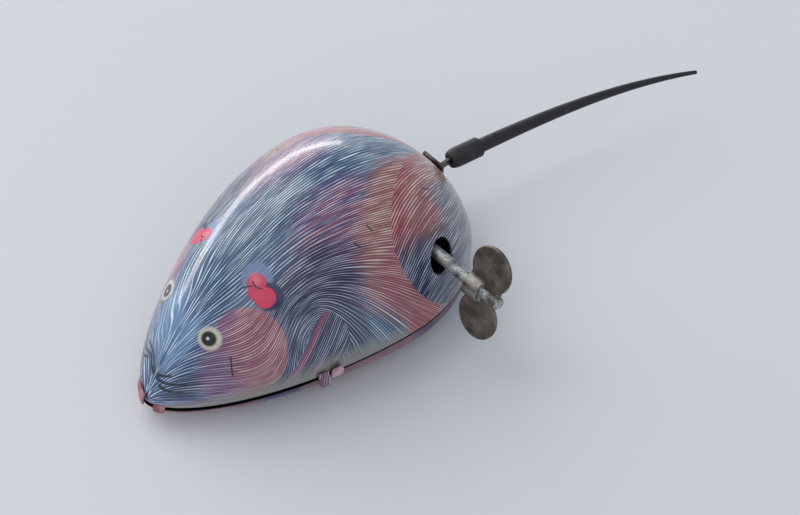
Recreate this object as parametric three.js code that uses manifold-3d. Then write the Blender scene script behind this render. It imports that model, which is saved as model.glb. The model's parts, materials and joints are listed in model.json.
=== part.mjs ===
// Clockwork mouse: a wind-up tin toy with a pressed upper shell, a shallow base pan, a two-plate
// spring motor, a butterfly key on its left flank and a moulded rubber tail.
// Millimetres, +X towards the nose, +Y towards the mouse's left (the key side), +Z up.
// The origin is the centre of the base pan's flat underside.
import * as THREE from 'three';
import { mergeVertices } from 'three/addons/utils/BufferGeometryUtils.js';
import Module from 'manifold-3d';

const wasm = await Module();
wasm.setup();

// ---------------------------------------------------------------- driving dimensions
const TIN = 0.5; // wall of the pressed shells
const BODY = { rear: -39, nose: 39, halfWidth: 24.2, widestX: -12.8, height: 31, tallestX: -0.5 };
const PLAN = { rear: [2.25, 1.96], front: [1.44, 1.65] }; // exponents of the outline seen from above
const CREST = { rear: [1.88, 1.63], front: [1.69, 1.22] }; // exponents of the back line seen from the side
const SECTION = 1.94; // exponent of the rounded cross-section
const SEAM = { atOrigin: 6, slope: -0.06 }; // height of the seam, which falls towards the nose
const SEAM_GAP = { rear: 0.35, front: 1.0, from: 2, to: 16 }; // the pan sits lower under the head
const GROUND = -2.2; // the wheels stand this far below the pan

const LIP = { inset: 1.15, rise: 1.2 }; // flange of the pan that stands up inside the upper shell
const FLOOR_SHARE = 0.8; // size of the pan's flat floor against its rim
const CORNER = 2.3; // exponent of the pan's rounded corner

const KEY_AXIS = { x: -19.3, z: 19.2 };
const KEYHOLE_R = 3.3;
const STEM = { r: 1.3, from: 8.2, to: 37.0, socketR: 0.95, socketDepth: 5.4 };
const WING = { lobeY: 32.85, lobeSpan: 5.2, lobeDepth: 4.8, apart: 12.1, thick: 0.9, tilt: -0.23 };
const NECK = { from: 28.6, split: 32.3, to: 35.2, half: 3.4 };
const BRIDGE = { half: 2.3, over: 0.75 }; // band of the wing that is pressed over the stem

const PLATE = { inner: 6.6, thick: 0.8, foot: 0.9 };
const MODULE = 0.5;
const TEETH = { great: 40, second: 32, pinion: 10, ratchet: 12, star: 12 };
const ARBOR_R = 0.8;
const RUN = 0.08; // running clearance of a shaft in its hole
const DRIVE = { r: 7, rim: 5.6, inner: 11.6, width: 3, axleR: 1.0 };
const WHEEL_SLOT_FRONT = -4; // the wheel slots run on forward of the wheels, so that the motor drops in
const FRONT = { x: 19, r: 4.2, half: 1.2, axleR: 0.7, lug: 2.1 };
const SPRING = { inner: 2.5, outer: 9.0, turns: 6, thick: 0.35, y0: 0.8, y1: 5.8 };

const BRACKET = { x: -39.9, thick: 0.7, yFar: -5.2, yNear: 0.6, top: 13.8, bottom: 9.9, slotTop: 10.7 };
const TAIL_SOCKET = { y: -0.3, z: 13, r: 1.1, depth: 5 };
const TAIL_PATH = [[-42.2, -0.3, 13], [-62, 3.0, 13], [-84, 6.6, 12.6], [-103, 15, 10.2]];
const TAIL = { collarR: 2.15, collar: 7.6, rootR: 1.5, tipR: 0.42, taper: 1.3 };

const NOSE_TAB = { half: 3.0, up: 3.0, down: 2.6, proud: 0.75, clear: 0.3 };
const FLANK_TAB = { x0: 8.4, x1: 12.4, down: 2.7 }; // tab of the upper shell, folded down
const PAN_TAB = { x0: 5.2, x1: 7.9, up: 2.2 }; // tab of the pan, folded up beside it

// Bearing centres in the x, z plane. Each arbor sits at the pitch distance from the one before it.
const polar = (from, length, degrees) => ({
  x: from.x + length * Math.cos(THREE.MathUtils.degToRad(degrees)),
  z: from.z + length * Math.sin(THREE.MathUtils.degToRad(degrees)),
});
const GREAT_TO_SECOND = (MODULE * (TEETH.great + TEETH.pinion)) / 2;
const SECOND_TO_PINION = (MODULE * (TEETH.second + TEETH.pinion)) / 2;
const A = KEY_AXIS;
const B = polar(A, GREAT_TO_SECOND, -35);
const axleDrop = GROUND + DRIVE.r - B.z;
const D = { x: B.x - Math.sqrt(SECOND_TO_PINION ** 2 - axleDrop ** 2), z: GROUND + DRIVE.r };
const C = polar(B, SECOND_TO_PINION, 40);
const P = polar(C, 7.1, 25);
const PILLARS = {
  pillar_rear: polar(A, 11.9, 200),
  pillar_top: { x: -7.5, z: 27 },
  pillar_front: { x: 3, z: 9 },
};

// ---------------------------------------------------------------- solids and meshes
function solidOf(geometry, flipped = false) {
  const plain = geometry.index ? geometry.toNonIndexed() : geometry.clone();
  plain.deleteAttribute('normal');
  plain.deleteAttribute('uv');
  const merged = mergeVertices(plain, 1e-4);
  const corners = Uint32Array.from(merged.index.array);
  return new wasm.Manifold(new wasm.Mesh({
    numProp: 3,
    vertProperties: merged.attributes.position.array,
    triVerts: flipped ? corners.reverse() : corners,
  }));
}

// A solid whose faces point out, whichever way its triangles were wound.
function outward(geometry) {
  const solid = solidOf(geometry);
  return solid.volume() > 0 ? solid : solidOf(geometry, true);
}

function geometryOf(solid) {
  const mesh = solid.getMesh();
  const geometry = new THREE.BufferGeometry();
  geometry.setAttribute('position', new THREE.BufferAttribute(mesh.vertProperties, 3));
  geometry.setIndex(new THREE.BufferAttribute(mesh.triVerts, 1));
  geometry.computeVertexNormals();
  return geometry;
}

const joinAll = (solids) => solids.reduce((sum, next) => sum.add(next));

// A box from its low corner to its high corner.
function box(low, high) {
  const size = high.map((value, i) => value - low[i]);
  const geometry = new THREE.BoxGeometry(...size);
  geometry.translate(...low.map((value, i) => value + size[i] / 2));
  return solidOf(geometry);
}

// A flat plate: the shape's own x, y become X, Z, and it fills y0 to y1.
function plate(shape, y0, y1, curveSegments = 12) {
  const options = { depth: y1 - y0, bevelEnabled: false, curveSegments };
  const geometry = new THREE.ExtrudeGeometry(shape, options);
  geometry.rotateX(Math.PI / 2);
  geometry.translate(0, y1, 0);
  return geometry;
}

// A turned piece about the Y axis, from its profile of [radius, y] points.
function turned(profile, segments = 16) {
  const points = profile.map(([radius, y]) => new THREE.Vector2(radius, y));
  return new THREE.LatheGeometry(points, segments);
}

function rod(radius, y0, y1, segments = 16) {
  return turned([[0, y0], [radius, y0], [radius, y1], [0, y1]], segments);
}

function polygon(points) {
  return new THREE.Shape(points.map(([x, z]) => new THREE.Vector2(x, z)));
}

// Drills round holes [x, z, radius] along Y through a solid.
function drilled(solid, holes) {
  const cutters = holes.map(([x, z, radius]) => solidOf(rod(radius, -40, 40, 14)).translate([x, 0, z]));
  return solid.subtract(joinAll(cutters));
}

// ---------------------------------------------------------------- the body's form
const seamHeight = (x) => SEAM.atOrigin + SEAM.slope * x;

// Gap between the shells at x, which opens towards the nose.
function seamGap(x) {
  const { rear, front, from, to } = SEAM_GAP;
  return THREE.MathUtils.lerp(rear, front, THREE.MathUtils.smoothstep(x, from, to));
}

// Share of the full width or height at x, for a line that peaks at peakX and ends at the nose and rear.
function share(x, peakX, inset, powers) {
  const front = x >= peakX;
  const reach = front ? BODY.nose - inset - peakX : peakX - BODY.rear - inset;
  const t = Math.min(Math.abs(x - peakX) / reach, 1);
  const [p, q] = front ? powers.front : powers.rear;
  return Math.max(1 - t ** p, 0) ** (1 / q);
}

// Point of the plan outline at angle t from the nose, drawn in by inset.
function outline(t, inset) {
  const front = Math.cos(t) >= 0;
  const reach = front ? BODY.nose - inset - BODY.widestX : BODY.widestX - BODY.rear - inset;
  const [p, q] = front ? PLAN.front : PLAN.rear;
  const x = BODY.widestX + Math.sign(Math.cos(t)) * reach * Math.abs(Math.cos(t)) ** (2 / p);
  const y = Math.sign(Math.sin(t)) * (BODY.halfWidth - inset) * Math.abs(Math.sin(t)) ** (2 / q);
  return [x, y];
}

const RING_POINTS = 56; // points round each loop of a shell
const DOME_RINGS = 12; // loops from the dome's crown to its rim
const PAN_RINGS = 7; // loops round the pan's rounded corner
// One closed loop of the outline, shrunk towards the widest point by scale, with its own height rule.
function loop(inset, scale, heightAt) {
  return Array.from({ length: RING_POINTS }, (_, i) => {
    const [x, y] = outline((2 * Math.PI * i) / RING_POINTS, inset);
    const px = BODY.widestX + scale * (x - BODY.widestX);
    const py = scale * y;
    return [px, py, heightAt(px, py)];
  });
}

// Closed skin through a pole, a run of loops and a last pole.
function skin(firstPole, loops, lastPole) {
  const positions = [...firstPole, ...loops.flat(2), ...lastPole];
  const index = [];
  const at = (k, i) => 1 + k * RING_POINTS + (i % RING_POINTS);
  const last = 1 + loops.length * RING_POINTS;
  for (let i = 0; i < RING_POINTS; i++) {
    index.push(0, at(0, i), at(0, i + 1));
    index.push(last, at(loops.length - 1, i + 1), at(loops.length - 1, i));
    for (let k = 0; k + 1 < loops.length; k++) {
      index.push(at(k, i), at(k + 1, i), at(k + 1, i + 1));
      index.push(at(k, i), at(k + 1, i + 1), at(k, i + 1));
    }
  }
  const geometry = new THREE.BufferGeometry();
  geometry.setAttribute('position', new THREE.Float32BufferAttribute(positions, 3));
  geometry.setIndex(index);
  return solidOf(geometry);
}

// Height of the domed back over a point of the plan, drawn in by inset.
function domeHeight(x, y, inset) {
  const width = (BODY.halfWidth - inset) * share(x, BODY.widestX, inset, PLAN);
  const height = (BODY.height - inset) * share(x, BODY.tallestX, inset, CREST);
  const across = width > 0 ? Math.min(Math.abs(y) / width, 1) : 1;
  return seamHeight(x) + height * (1 - across ** SECTION) ** (1 / SECTION);
}

function domeLoops(inset, count) {
  return Array.from({ length: count }, (_, k) => {
    const scale = Math.sin((Math.PI / 2) * ((k + 1) / count));
    const rim = k === count - 1;
    return loop(inset, scale, (x, y) => (rim ? seamHeight(x) : domeHeight(x, y, inset)));
  });
}

// A short band that follows the outline, from inset to outset, between two heights above the seam.
function band(inset, outset, low, high) {
  const wall = (offset, dz) => loop(offset, 1, (x) => seamHeight(x) + dz);
  const solid = (offset, dzLow, dzHigh) => skin(
    [BODY.widestX, 0, seamHeight(BODY.widestX) + dzHigh],
    [wall(offset, dzHigh), wall(offset, dzLow)],
    [BODY.widestX, 0, seamHeight(BODY.widestX) + dzLow],
  );
  return solid(outset, low, high).subtract(solid(inset, low - 1, high + 1));
}

const BIG = 60;
const slab = (x0, x1, y0, y1) => box([x0, y0, -BIG], [x1, y1, BIG]);

// Tab of the upper shell that folds down outside the pan, or of the pan that folds up, on both flanks.
function flankTabs(x0, x1, low, high, rootLow, rootHigh) {
  const { proud, clear } = NOSE_TAB;
  const free = band(-clear, -proud, low, high);
  const root = band(TIN / 2, -proud, rootLow, rootHigh);
  return free.add(root).intersect(slab(x0, x1, -BIG, BIG));
}

function noseTab() {
  const { half, up, down, proud, clear } = NOSE_TAB;
  const free = band(-clear, -proud, -down, up);
  const root = band(TIN / 2, -proud, 0.6, 1.6);
  return free.add(root).intersect(slab(BODY.nose - 8, BIG, -half, half));
}

function upperShell() {
  const outer = domeLoops(0, DOME_RINGS);
  const inner = domeLoops(TIN, DOME_RINGS - 2).reverse();
  const shell = skin(
    [BODY.widestX, 0, domeHeight(BODY.widestX, 0, 0)],
    [...outer, ...inner],
    [BODY.widestX, 0, domeHeight(BODY.widestX, 0, TIN)],
  );
  const keyhole = solidOf(rod(KEYHOLE_R, 5, 40, 28)).translate([KEY_AXIS.x, 0, KEY_AXIS.z]);
  const { yFar, yNear, bottom, slotTop } = BRACKET;
  const tailSlot = box([-45, yFar - 0.3, bottom - 0.3], [-34, yNear + 0.3, slotTop + 0.3]);
  const tabs = flankTabs(FLANK_TAB.x0, FLANK_TAB.x1, -FLANK_TAB.down, 1.2, 0.4, 1.2);
  return joinAll([shell, tabs, noseTab()]).subtract(keyhole).subtract(tailSlot);
}

// Pan wall: a rounded corner from the rim down to the flat floor.
function panLoops(inset, count, floorHeight) {
  return Array.from({ length: count }, (_, k) => {
    const angle = (Math.PI / 2) * (k / (count - 1));
    const inward = 1 - Math.cos(angle) ** (2 / CORNER);
    const drop = Math.sin(angle) ** (2 / CORNER);
    const scale = 1 - (1 - FLOOR_SHARE) * inward;
    return loop(inset, scale, (x) => {
      const rimX = BODY.widestX + (x - BODY.widestX) / scale;
      const rim = seamHeight(rimX) - seamGap(rimX);
      return floorHeight + (rim - floorHeight) * (1 - drop);
    });
  });
}

function basePan() {
  const inner = panLoops(LIP.inset + TIN, PAN_RINGS, TIN).reverse();
  const outer = panLoops(0, PAN_RINGS, 0);
  const ledge = loop(LIP.inset, 1, (x) => seamHeight(x) - seamGap(x));
  const lipOuter = loop(LIP.inset, 1, (x) => seamHeight(x) + LIP.rise);
  const lipInner = loop(LIP.inset + TIN, 1, (x) => seamHeight(x) + LIP.rise);
  const dish = skin(
    [BODY.widestX, 0, TIN],
    [...inner, lipInner, lipOuter, ledge, ...outer],
    [BODY.widestX, 0, 0],
  );
  const wheelSlots = [-1, 1].map((side) => {
    const y0 = DRIVE.inner - 0.7;
    const y1 = DRIVE.inner + DRIVE.width + 0.7;
    const low = [D.x - DRIVE.r - 0.2, side > 0 ? y0 : -y1, -1];
    const high = [WHEEL_SLOT_FRONT, side > 0 ? y1 : -y0, 3];
    return box(low, high);
  });
  const frontSlot = box([FRONT.x - FRONT.r - 0.4, -1.7, -1], [FRONT.x + FRONT.r + 0.4, 1.7, 1]);
  const tabSlots = [-1, 1].flatMap((side) => PLATE_TABS.map((x) => {
    const y0 = PLATE.inner - 0.3;
    const y1 = PLATE.inner + PLATE.thick + 0.3;
    return box([x - 1.8, side > 0 ? y0 : -y1, -1], [x + 1.8, side > 0 ? y1 : -y0, 1]);
  }));
  const lugs = [-1, 1].map((side) => {
    const shape = polygon([[-2, TIN / 2], [2, TIN / 2], [1.6, 2.8], [0.9, 3.8], [-0.9, 3.8], [-1.6, 2.8]]);
    const y0 = side > 0 ? FRONT.lug : -FRONT.lug - 0.6;
    const lug = drilled(solidOf(plate(shape, y0, y0 + 0.6)), [[0, GROUND + FRONT.r, FRONT.axleR + RUN]]);
    return lug.translate([FRONT.x, 0, 0]);
  });
  const tabs = flankTabs(PAN_TAB.x0, PAN_TAB.x1, -1.6, PAN_TAB.up, -1.6, -0.6);
  return joinAll([dish, tabs, ...lugs]).subtract(joinAll([...wheelSlots, frontSlot, ...tabSlots]));
}

// ---------------------------------------------------------------- toothed wheels
// Straight-flanked spur teeth, with a tooth centred on the angle phase.
function toothedShape(teeth, phase) {
  const pitch = (2 * Math.PI) / teeth;
  const root = MODULE * (teeth / 2 - 1.25);
  const waist = MODULE * (teeth / 2);
  const tip = MODULE * (teeth / 2 + 0.75);
  const flank = [[root, -0.28], [waist, -0.2], [tip, -0.09], [tip, 0.09], [waist, 0.2], [root, 0.28]];
  const points = [];
  for (let i = 0; i < teeth; i++) {
    for (const [radius, side] of flank) {
      const angle = phase + (i + side) * pitch;
      points.push([radius * Math.cos(angle), radius * Math.sin(angle)]);
    }
  }
  return polygon(points);
}

// Saw-shaped teeth for the ratchet and the star wheel.
function sawShape(teeth, root, tip, lean) {
  const points = [];
  for (let i = 0; i < teeth; i++) {
    const angle = (2 * Math.PI * i) / teeth;
    const step = (2 * Math.PI) / teeth;
    points.push([root * Math.cos(angle), root * Math.sin(angle)]);
    points.push([tip * Math.cos(angle + lean * step), tip * Math.sin(angle + lean * step)]);
  }
  return polygon(points);
}

const angleBetween = (from, to) => Math.atan2(to.z - from.z, to.x - from.x);

// Phase that puts a wheel of teeth2 in mesh with one of teeth1 at phase1.
function meshingPhase(teeth1, phase1, from, to, teeth2) {
  const theta = angleBetween(from, to);
  const fraction = (theta - phase1) / ((2 * Math.PI) / teeth1);
  return theta + Math.PI - ((2 * Math.PI) / teeth2) * (0.5 - fraction);
}

const wheel = (shape, bore, y0, y1) => drilled(solidOf(plate(shape, y0, y1)), [[0, 0, bore]]);

// Pressed hub of a driving wheel: a thick boss, a thin web and a flanged rim.
function driveHub(y0) {
  const bore = DRIVE.axleR + 0.05;
  const rim = DRIVE.rim - 0.05;
  const [boss, web] = [2.2, 4.6];
  return turned([
    [bore, y0 + 0.1], [boss, y0 + 0.1], [boss, y0 + 0.9], [web, y0 + 0.9], [web, y0 + 0.3], [rim, y0 + 0.3],
    [rim, y0 + 2.7], [web, y0 + 2.7], [web, y0 + 2.1], [boss, y0 + 2.1], [boss, y0 + 2.9],
    [bore, y0 + 2.9], [bore, y0 + 0.1],
  ], 24);
}

function tyre(y0) {
  const { rim, r, width } = DRIVE;
  const round = 0.5;
  return turned([
    [rim, y0 + 0.2], [r - round, y0], [r, y0 + round], [r, y0 + width - round],
    [r - round, y0 + width], [rim, y0 + width - 0.2], [rim, y0 + 0.2],
  ], 36);
}

// Small solid roller for the front.
function frontRoller() {
  const { r, half, axleR } = FRONT;
  const bore = axleR + RUN;
  const round = 0.3;
  return turned([
    [bore, -half], [r - round, -half], [r, -half + round], [r, half - round],
    [r - round, half], [bore, half], [bore, -half],
  ], 32);
}

// Front axle with a headed end outside each lug.
function frontAxle() {
  const shank = FRONT.lug + 0.8;
  const [head, end] = [1.1, shank + 0.5];
  return turned([
    [0, -end], [head, -end], [head, -shank], [FRONT.axleR, -shank],
    [FRONT.axleR, shank], [head, shank], [head, end], [0, end],
  ], 12);
}

// ---------------------------------------------------------------- key and spring
function keyStem() {
  const { r, from, to, socketR, socketDepth } = STEM;
  return turned([
    [0, from + socketDepth], [socketR, from + socketDepth], [socketR, from], [r, from],
    [r, to - 0.35], [r - 0.35, to], [0, to],
  ], 20);
}

// Butterfly wing: two round lobes and a neck whose bands are pressed over and under the stem.
// It is drawn flat in x, y as span and depth along the stem, and then stood on edge.
function keyWing() {
  const { lobeY, lobeSpan, lobeDepth, apart, thick } = WING;
  const lobe = (side) => {
    const centre = (side * apart) / 2;
    return new THREE.Shape().absellipse(centre, lobeY, lobeSpan, lobeDepth, 0, 2 * Math.PI, false);
  };
  const flat = (shape) => {
    const options = { depth: thick, bevelEnabled: false, curveSegments: 20 };
    const geometry = new THREE.ExtrudeGeometry(shape, options);
    geometry.translate(0, 0, -thick / 2);
    return solidOf(geometry);
  };
  const { half, from, to } = NECK;
  const neck = polygon([[-half, from], [half, from], [half, to], [-half, to]]);
  const crest = STEM.r + RUN + BRIDGE.over;
  const bridge = (y0, y1, side) => {
    const foot = BRIDGE.half + 0.9;
    const shape = polygon([[-foot, 0], [foot, 0], [STEM.r, side * crest], [-STEM.r, side * crest]]);
    return outward(plate(shape, y0, y1));
  };
  const stemRoom = solidOf(rod(STEM.r + RUN, NECK.from - 2, NECK.to + 2, 20));
  const openNear = box([-STEM.r - 0.05, NECK.split, -0.1], [STEM.r + 0.05, NECK.to + 1, 3]);
  const openFar = box([-STEM.r - 0.05, NECK.from - 1, -3], [STEM.r + 0.05, NECK.split, 0.1]);
  const raised = joinAll([
    flat(lobe(-1)), flat(lobe(1)), flat(neck),
    bridge(NECK.from, NECK.split, 1), bridge(NECK.split, NECK.to, -1),
  ]);
  return raised.subtract(stemRoom).subtract(openNear).subtract(openFar);
}

function mainspring() {
  const steps = 14 * SPRING.turns;
  const hookAngle = angleBetween(A, PILLARS.pillar_rear);
  const side = (offset) => Array.from({ length: steps + 1 }, (_, i) => {
    const along = i / steps;
    const angle = hookAngle - 2 * Math.PI * SPRING.turns * (1 - along);
    const hook = Math.max(along - 0.97, 0) * 40;
    const radius = SPRING.inner + (SPRING.outer - SPRING.inner) * along + hook + offset;
    return [radius * Math.cos(angle), radius * Math.sin(angle)];
  });
  const outerSide = side(SPRING.thick / 2);
  const innerSide = side(-SPRING.thick / 2).reverse();
  return plate(polygon([...outerSide, ...innerSide]), SPRING.y0, SPRING.y1);
}

// ---------------------------------------------------------------- motor frame
const PLATE_TABS = [-22, -5];
const PLATE_EDGE = [
  [-32.4, 13.2], [-32, 17.4], [-24, 24.6], [-10, 29], [-5.4, 29.2], [8, 24.4],
  [8.4, 20], [5.6, 7.4], [-1.5, PLATE.foot], [-26, PLATE.foot],
];

function motorPlate(side) {
  const { inner, thick, foot } = PLATE;
  const y0 = side > 0 ? inner : -inner - thick;
  const blank = solidOf(plate(polygon(PLATE_EDGE), y0, y0 + thick));
  const sheet = drilled(blank, [
    ...[B, C, P].map(({ x, z }) => [x, z, ARBOR_R + RUN]),
    ...Object.values(PILLARS).map(({ x, z }) => [x, z, 0.7 + RUN]),
    [A.x, A.z, 1.3 + RUN],
    [D.x, D.z, DRIVE.axleR + RUN],
  ]);
  const tabs = PLATE_TABS.flatMap((x) => {
    const reach = side > 0 ? [y0, inner + 3.2] : [-inner - 3.2, y0 + thick];
    return [
      box([x - 1.5, y0, -0.9], [x + 1.5, y0 + thick, foot + 0.5]),
      box([x - 1.5, reach[0], -0.9], [x + 1.5, reach[1], -0.3]),
    ];
  });
  return joinAll([sheet, ...tabs]);
}

// Shouldered pillar, whose thin ends go through both plates and are riveted over.
function pillar() {
  const { inner, thick } = PLATE;
  const shoulder = inner - 0.05;
  const out = inner + thick + 0.1;
  return turned([
    [0, -out - 0.5], [1.1, -out - 0.5], [1.1, -out], [0.7, -out], [0.7, -shoulder], [1.1, -shoulder],
    [1.1, shoulder], [0.7, shoulder], [0.7, out], [1.1, out], [1.1, out + 0.5], [0, out + 0.5],
  ], 12);
}

// Plain arbor with a thicker barrel between y0 and y1, which carries its wheels.
function arbor(end, barrel, y0, y1) {
  return turned([
    [0, -end], [ARBOR_R, -end], [ARBOR_R, y0], [barrel, y0],
    [barrel, y1], [ARBOR_R, y1], [ARBOR_R, end], [0, end],
  ], 12);
}

function springArbor() {
  const spigot = STEM.socketR - RUN;
  return turned([
    [0, -8.2], [1.3, -8.2], [1.3, -6.4], [1.7, -6.4], [1.7, 6.4], [1.3, 6.4], [1.3, 7.9],
    [spigot, 7.9], [spigot, STEM.from + STEM.socketDepth - 0.3], [0, STEM.from + STEM.socketDepth - 0.3],
  ], 16);
}

// ---------------------------------------------------------------- click and governor
function clickPawl() {
  const shape = polygon([[4.6, -0.8], [5.3, -1.4], [8.2, -0.6], [8.6, 0.3], [8.0, 1.0], [7.1, 0.9]]);
  return drilled(solidOf(plate(shape, -2.6, -1.7)), [[7.7, 0.1, 0.42]]);
}

function clickStud() {
  return turned([[0, -3.1], [0.75, -3.1], [0.75, -2.7], [0.34, -2.7], [0.34, -1.32], [0, -1.32]], 10);
}

function clickSpring() {
  const arc = Array.from({ length: 9 }, (_, i) => -2.35 + (i * 1.75) / 8);
  const side = (radius) => arc.map((angle) => [radius * Math.cos(angle), radius * Math.sin(angle)]);
  return plate(polygon([...side(7.9), ...side(7.55).reverse()]), -2.4, -1.9);
}

// Anchor whose two arms straddle the star wheel, drawn with its pivot at the origin and the wheel at -x.
function pallet() {
  const towards = angleBetween(P, C);
  const arm = (degrees) => {
    const angle = towards + THREE.MathUtils.degToRad(degrees);
    const shape = polygon([[0, -0.7], [4.9, -0.35], [5.3, 0], [4.9, 0.35], [0, 0.7]]);
    return solidOf(plate(shape, -2.5, -1.8)).rotate([0, -THREE.MathUtils.radToDeg(angle), 0]);
  };
  const hub = solidOf(rod(1.5, -2.9, -1.4, 14));
  const weight = solidOf(plate(polygon([[0, -1.0], [3.4, -1.6], [3.4, 1.6], [0, 1.0]]), -2.5, -1.8));
  const bore = solidOf(rod(ARBOR_R + 0.02, -4, 0, 12));
  return joinAll([arm(50), arm(-50), hub, weight]).subtract(bore);
}

// ---------------------------------------------------------------- tail
function tailBracket() {
  const { x, thick, yFar, yNear, top, bottom, slotTop } = BRACKET;
  const face = box([x, yFar, bottom], [x + thick, yNear, top]);
  const through = box([x, yFar, bottom], [-36.4, yNear, slotTop]);
  const clinch = box([-36.9, yFar, bottom], [-36.2, yNear, bottom + 3.2]);
  const { y, z } = TAIL_SOCKET;
  const tongue = box([-46.2, y - thick / 2, z - 0.8], [x + 0.2, y + thick / 2, top]);
  return joinAll([face, through, clinch, tongue]);
}

// Radius of the tail at a distance from its root: a domed collar, a step, then an even taper.
function tailRadius(distance, length) {
  if (distance <= TAIL.collar) {
    const dome = Math.min(distance / 2.2, 1);
    return TAIL.collarR * (0.7 + 0.3 * Math.sqrt(1 - (1 - dome) ** 2));
  }
  const along = (distance - TAIL.collar) / (length - TAIL.collar);
  return THREE.MathUtils.lerp(TAIL.rootR, TAIL.tipR, along ** TAIL.taper);
}

function tail() {
  const curve = new THREE.CubicBezierCurve3(...TAIL_PATH.map((p) => new THREE.Vector3(...p)));
  const length = curve.getLength();
  const sides = 12;
  const stations = [0, 0.5, 1.1, 2.2, 5, TAIL.collar - 0.01, TAIL.collar + 0.25];
  for (let s = 12; s < length; s += 4.5) stations.push(s);
  stations.push(length);
  const positions = [];
  for (const s of stations) {
    const centre = curve.getPointAt(s / length);
    const along = curve.getTangentAt(s / length);
    const across = new THREE.Vector3(0, 0, 1).cross(along).normalize();
    const up = along.clone().cross(across);
    for (let i = 0; i < sides; i++) {
      const angle = (2 * Math.PI * i) / sides;
      const point = centre.clone()
        .addScaledVector(across, tailRadius(s, length) * Math.cos(angle))
        .addScaledVector(up, tailRadius(s, length) * Math.sin(angle));
      positions.push(point.x, point.y, point.z);
    }
  }
  const index = [];
  for (let k = 0; k + 1 < stations.length; k++) {
    for (let i = 0; i < sides; i++) {
      const next = (i + 1) % sides;
      index.push(k * sides + i, k * sides + next, (k + 1) * sides + next);
      index.push(k * sides + i, (k + 1) * sides + next, (k + 1) * sides + i);
    }
  }
  const endRow = (stations.length - 1) * sides;
  for (let i = 1; i + 1 < sides; i++) {
    index.push(0, i + 1, i);
    index.push(endRow, endRow + i, endRow + i + 1);
  }
  const geometry = new THREE.BufferGeometry();
  geometry.setAttribute('position', new THREE.Float32BufferAttribute(positions, 3));
  geometry.setIndex(index);
  const cylinder = new THREE.CylinderGeometry(TAIL_SOCKET.r, TAIL_SOCKET.r, TAIL_SOCKET.depth, 16);
  cylinder.rotateZ(Math.PI / 2);
  const start = TAIL_PATH[0][0] + 0.5;
  cylinder.translate(start - TAIL_SOCKET.depth / 2, TAIL_SOCKET.y, TAIL_SOCKET.z);
  return outward(geometry).subtract(solidOf(cylinder));
}

// ---------------------------------------------------------------- materials
function paint(color, roughness, metalness) {
  return new THREE.MeshStandardMaterial({ color, roughness, metalness });
}

const LITHO_BLUE = paint(0x5b7296, 0.3, 0.2);
const LITHO_PINK = paint(0xb98794, 0.35, 0.2);
const STEEL = paint(0x8d8f8c, 0.38, 0.9);
const DULL_STEEL = paint(0x5e5c57, 0.5, 0.85);
const BRASS = paint(0xb08d4a, 0.35, 0.9);
const SPRING_STEEL = paint(0x3f4654, 0.3, 0.9);
const RUBBER = paint(0x1d1e20, 0.6, 0);

// ---------------------------------------------------------------- assembly
const mouse = new THREE.Group();

// Adds one named mesh to a group that stands at x, z.
function add(group, name, shape, material) {
  const geometry = shape.isBufferGeometry ? geometryOf(outward(shape)) : geometryOf(shape);
  const mesh = new THREE.Mesh(geometry, material);
  mesh.name = name;
  group.add(mesh);
  return mesh;
}

function groupAt({ x, z }) {
  const group = new THREE.Group();
  group.position.set(x, 0, z);
  mouse.add(group);
  return group;
}

add(mouse, 'upper_shell', upperShell(), LITHO_BLUE);
add(mouse, 'lower_shell', basePan(), LITHO_PINK);
add(mouse, 'motor_plate_left', motorPlate(1), STEEL);
add(mouse, 'motor_plate_right', motorPlate(-1), STEEL);
for (const [name, place] of Object.entries(PILLARS)) add(groupAt(place), name, pillar(), STEEL);
add(mouse, 'tail_bracket', tailBracket(), DULL_STEEL);
add(mouse, 'tail', tail(), RUBBER);

// Winding side: key, arbor and ratchet turn together.
const winding = groupAt(A);
add(winding, 'key_stem', keyStem(), STEEL);
const wing = add(winding, 'key_wing', keyWing(), DULL_STEEL);
wing.rotation.set(0, WING.tilt + Math.PI / 2, 0);
add(winding, 'spring_arbor', springArbor(), STEEL);
add(winding, 'ratchet_wheel', wheel(sawShape(TEETH.ratchet, 3.4, 4.3, 0.15), 1.75, -2.6, -1.7), STEEL);
add(winding, 'mainspring', mainspring(), SPRING_STEEL);

// Great wheel, which runs free on the arbor and carries the click.
const greatPhase = angleBetween(A, B);
const great = groupAt(A);
add(great, 'great_wheel', wheel(toothedShape(TEETH.great, greatPhase), 1.78, -1.25, -0.25), BRASS);
add(great, 'click_pawl', clickPawl(), STEEL);
add(great, 'click_stud', clickStud(), STEEL).position.set(7.7, 0, 0.1);
add(great, 'click_spring', clickSpring(), SPRING_STEEL);

// Second arbor.
const second = groupAt(B);
const secondPinionPhase = meshingPhase(TEETH.great, greatPhase, A, B, TEETH.pinion);
const secondPhase = angleBetween(B, D);
add(second, 'second_arbor', arbor(8, 1.1, -6.4, 6.4), STEEL);
add(second, 'second_pinion', wheel(toothedShape(TEETH.pinion, secondPinionPhase), 1.15, -2, 0.5), BRASS);
add(second, 'second_wheel', wheel(toothedShape(TEETH.second, secondPhase), 1.15, -5.2, -4.2), BRASS);

// Driving axle, with a wheel and its tyre at each end.
const drive = groupAt(D);
const drivePhase = meshingPhase(TEETH.second, secondPhase, B, D, TEETH.pinion);
add(drive, 'drive_axle', rod(DRIVE.axleR, -15.6, 15.6, 16), STEEL);
add(drive, 'drive_pinion', wheel(toothedShape(TEETH.pinion, drivePhase), 1.05, -5.8, -3.7), BRASS);
for (const [name, side] of [['left', 1], ['right', -1]]) {
  const y0 = side > 0 ? DRIVE.inner : -DRIVE.inner - DRIVE.width;
  add(drive, `drive_wheel_${name}`, driveHub(y0), STEEL);
  add(drive, `tyre_${name}`, tyre(y0), RUBBER);
}

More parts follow.
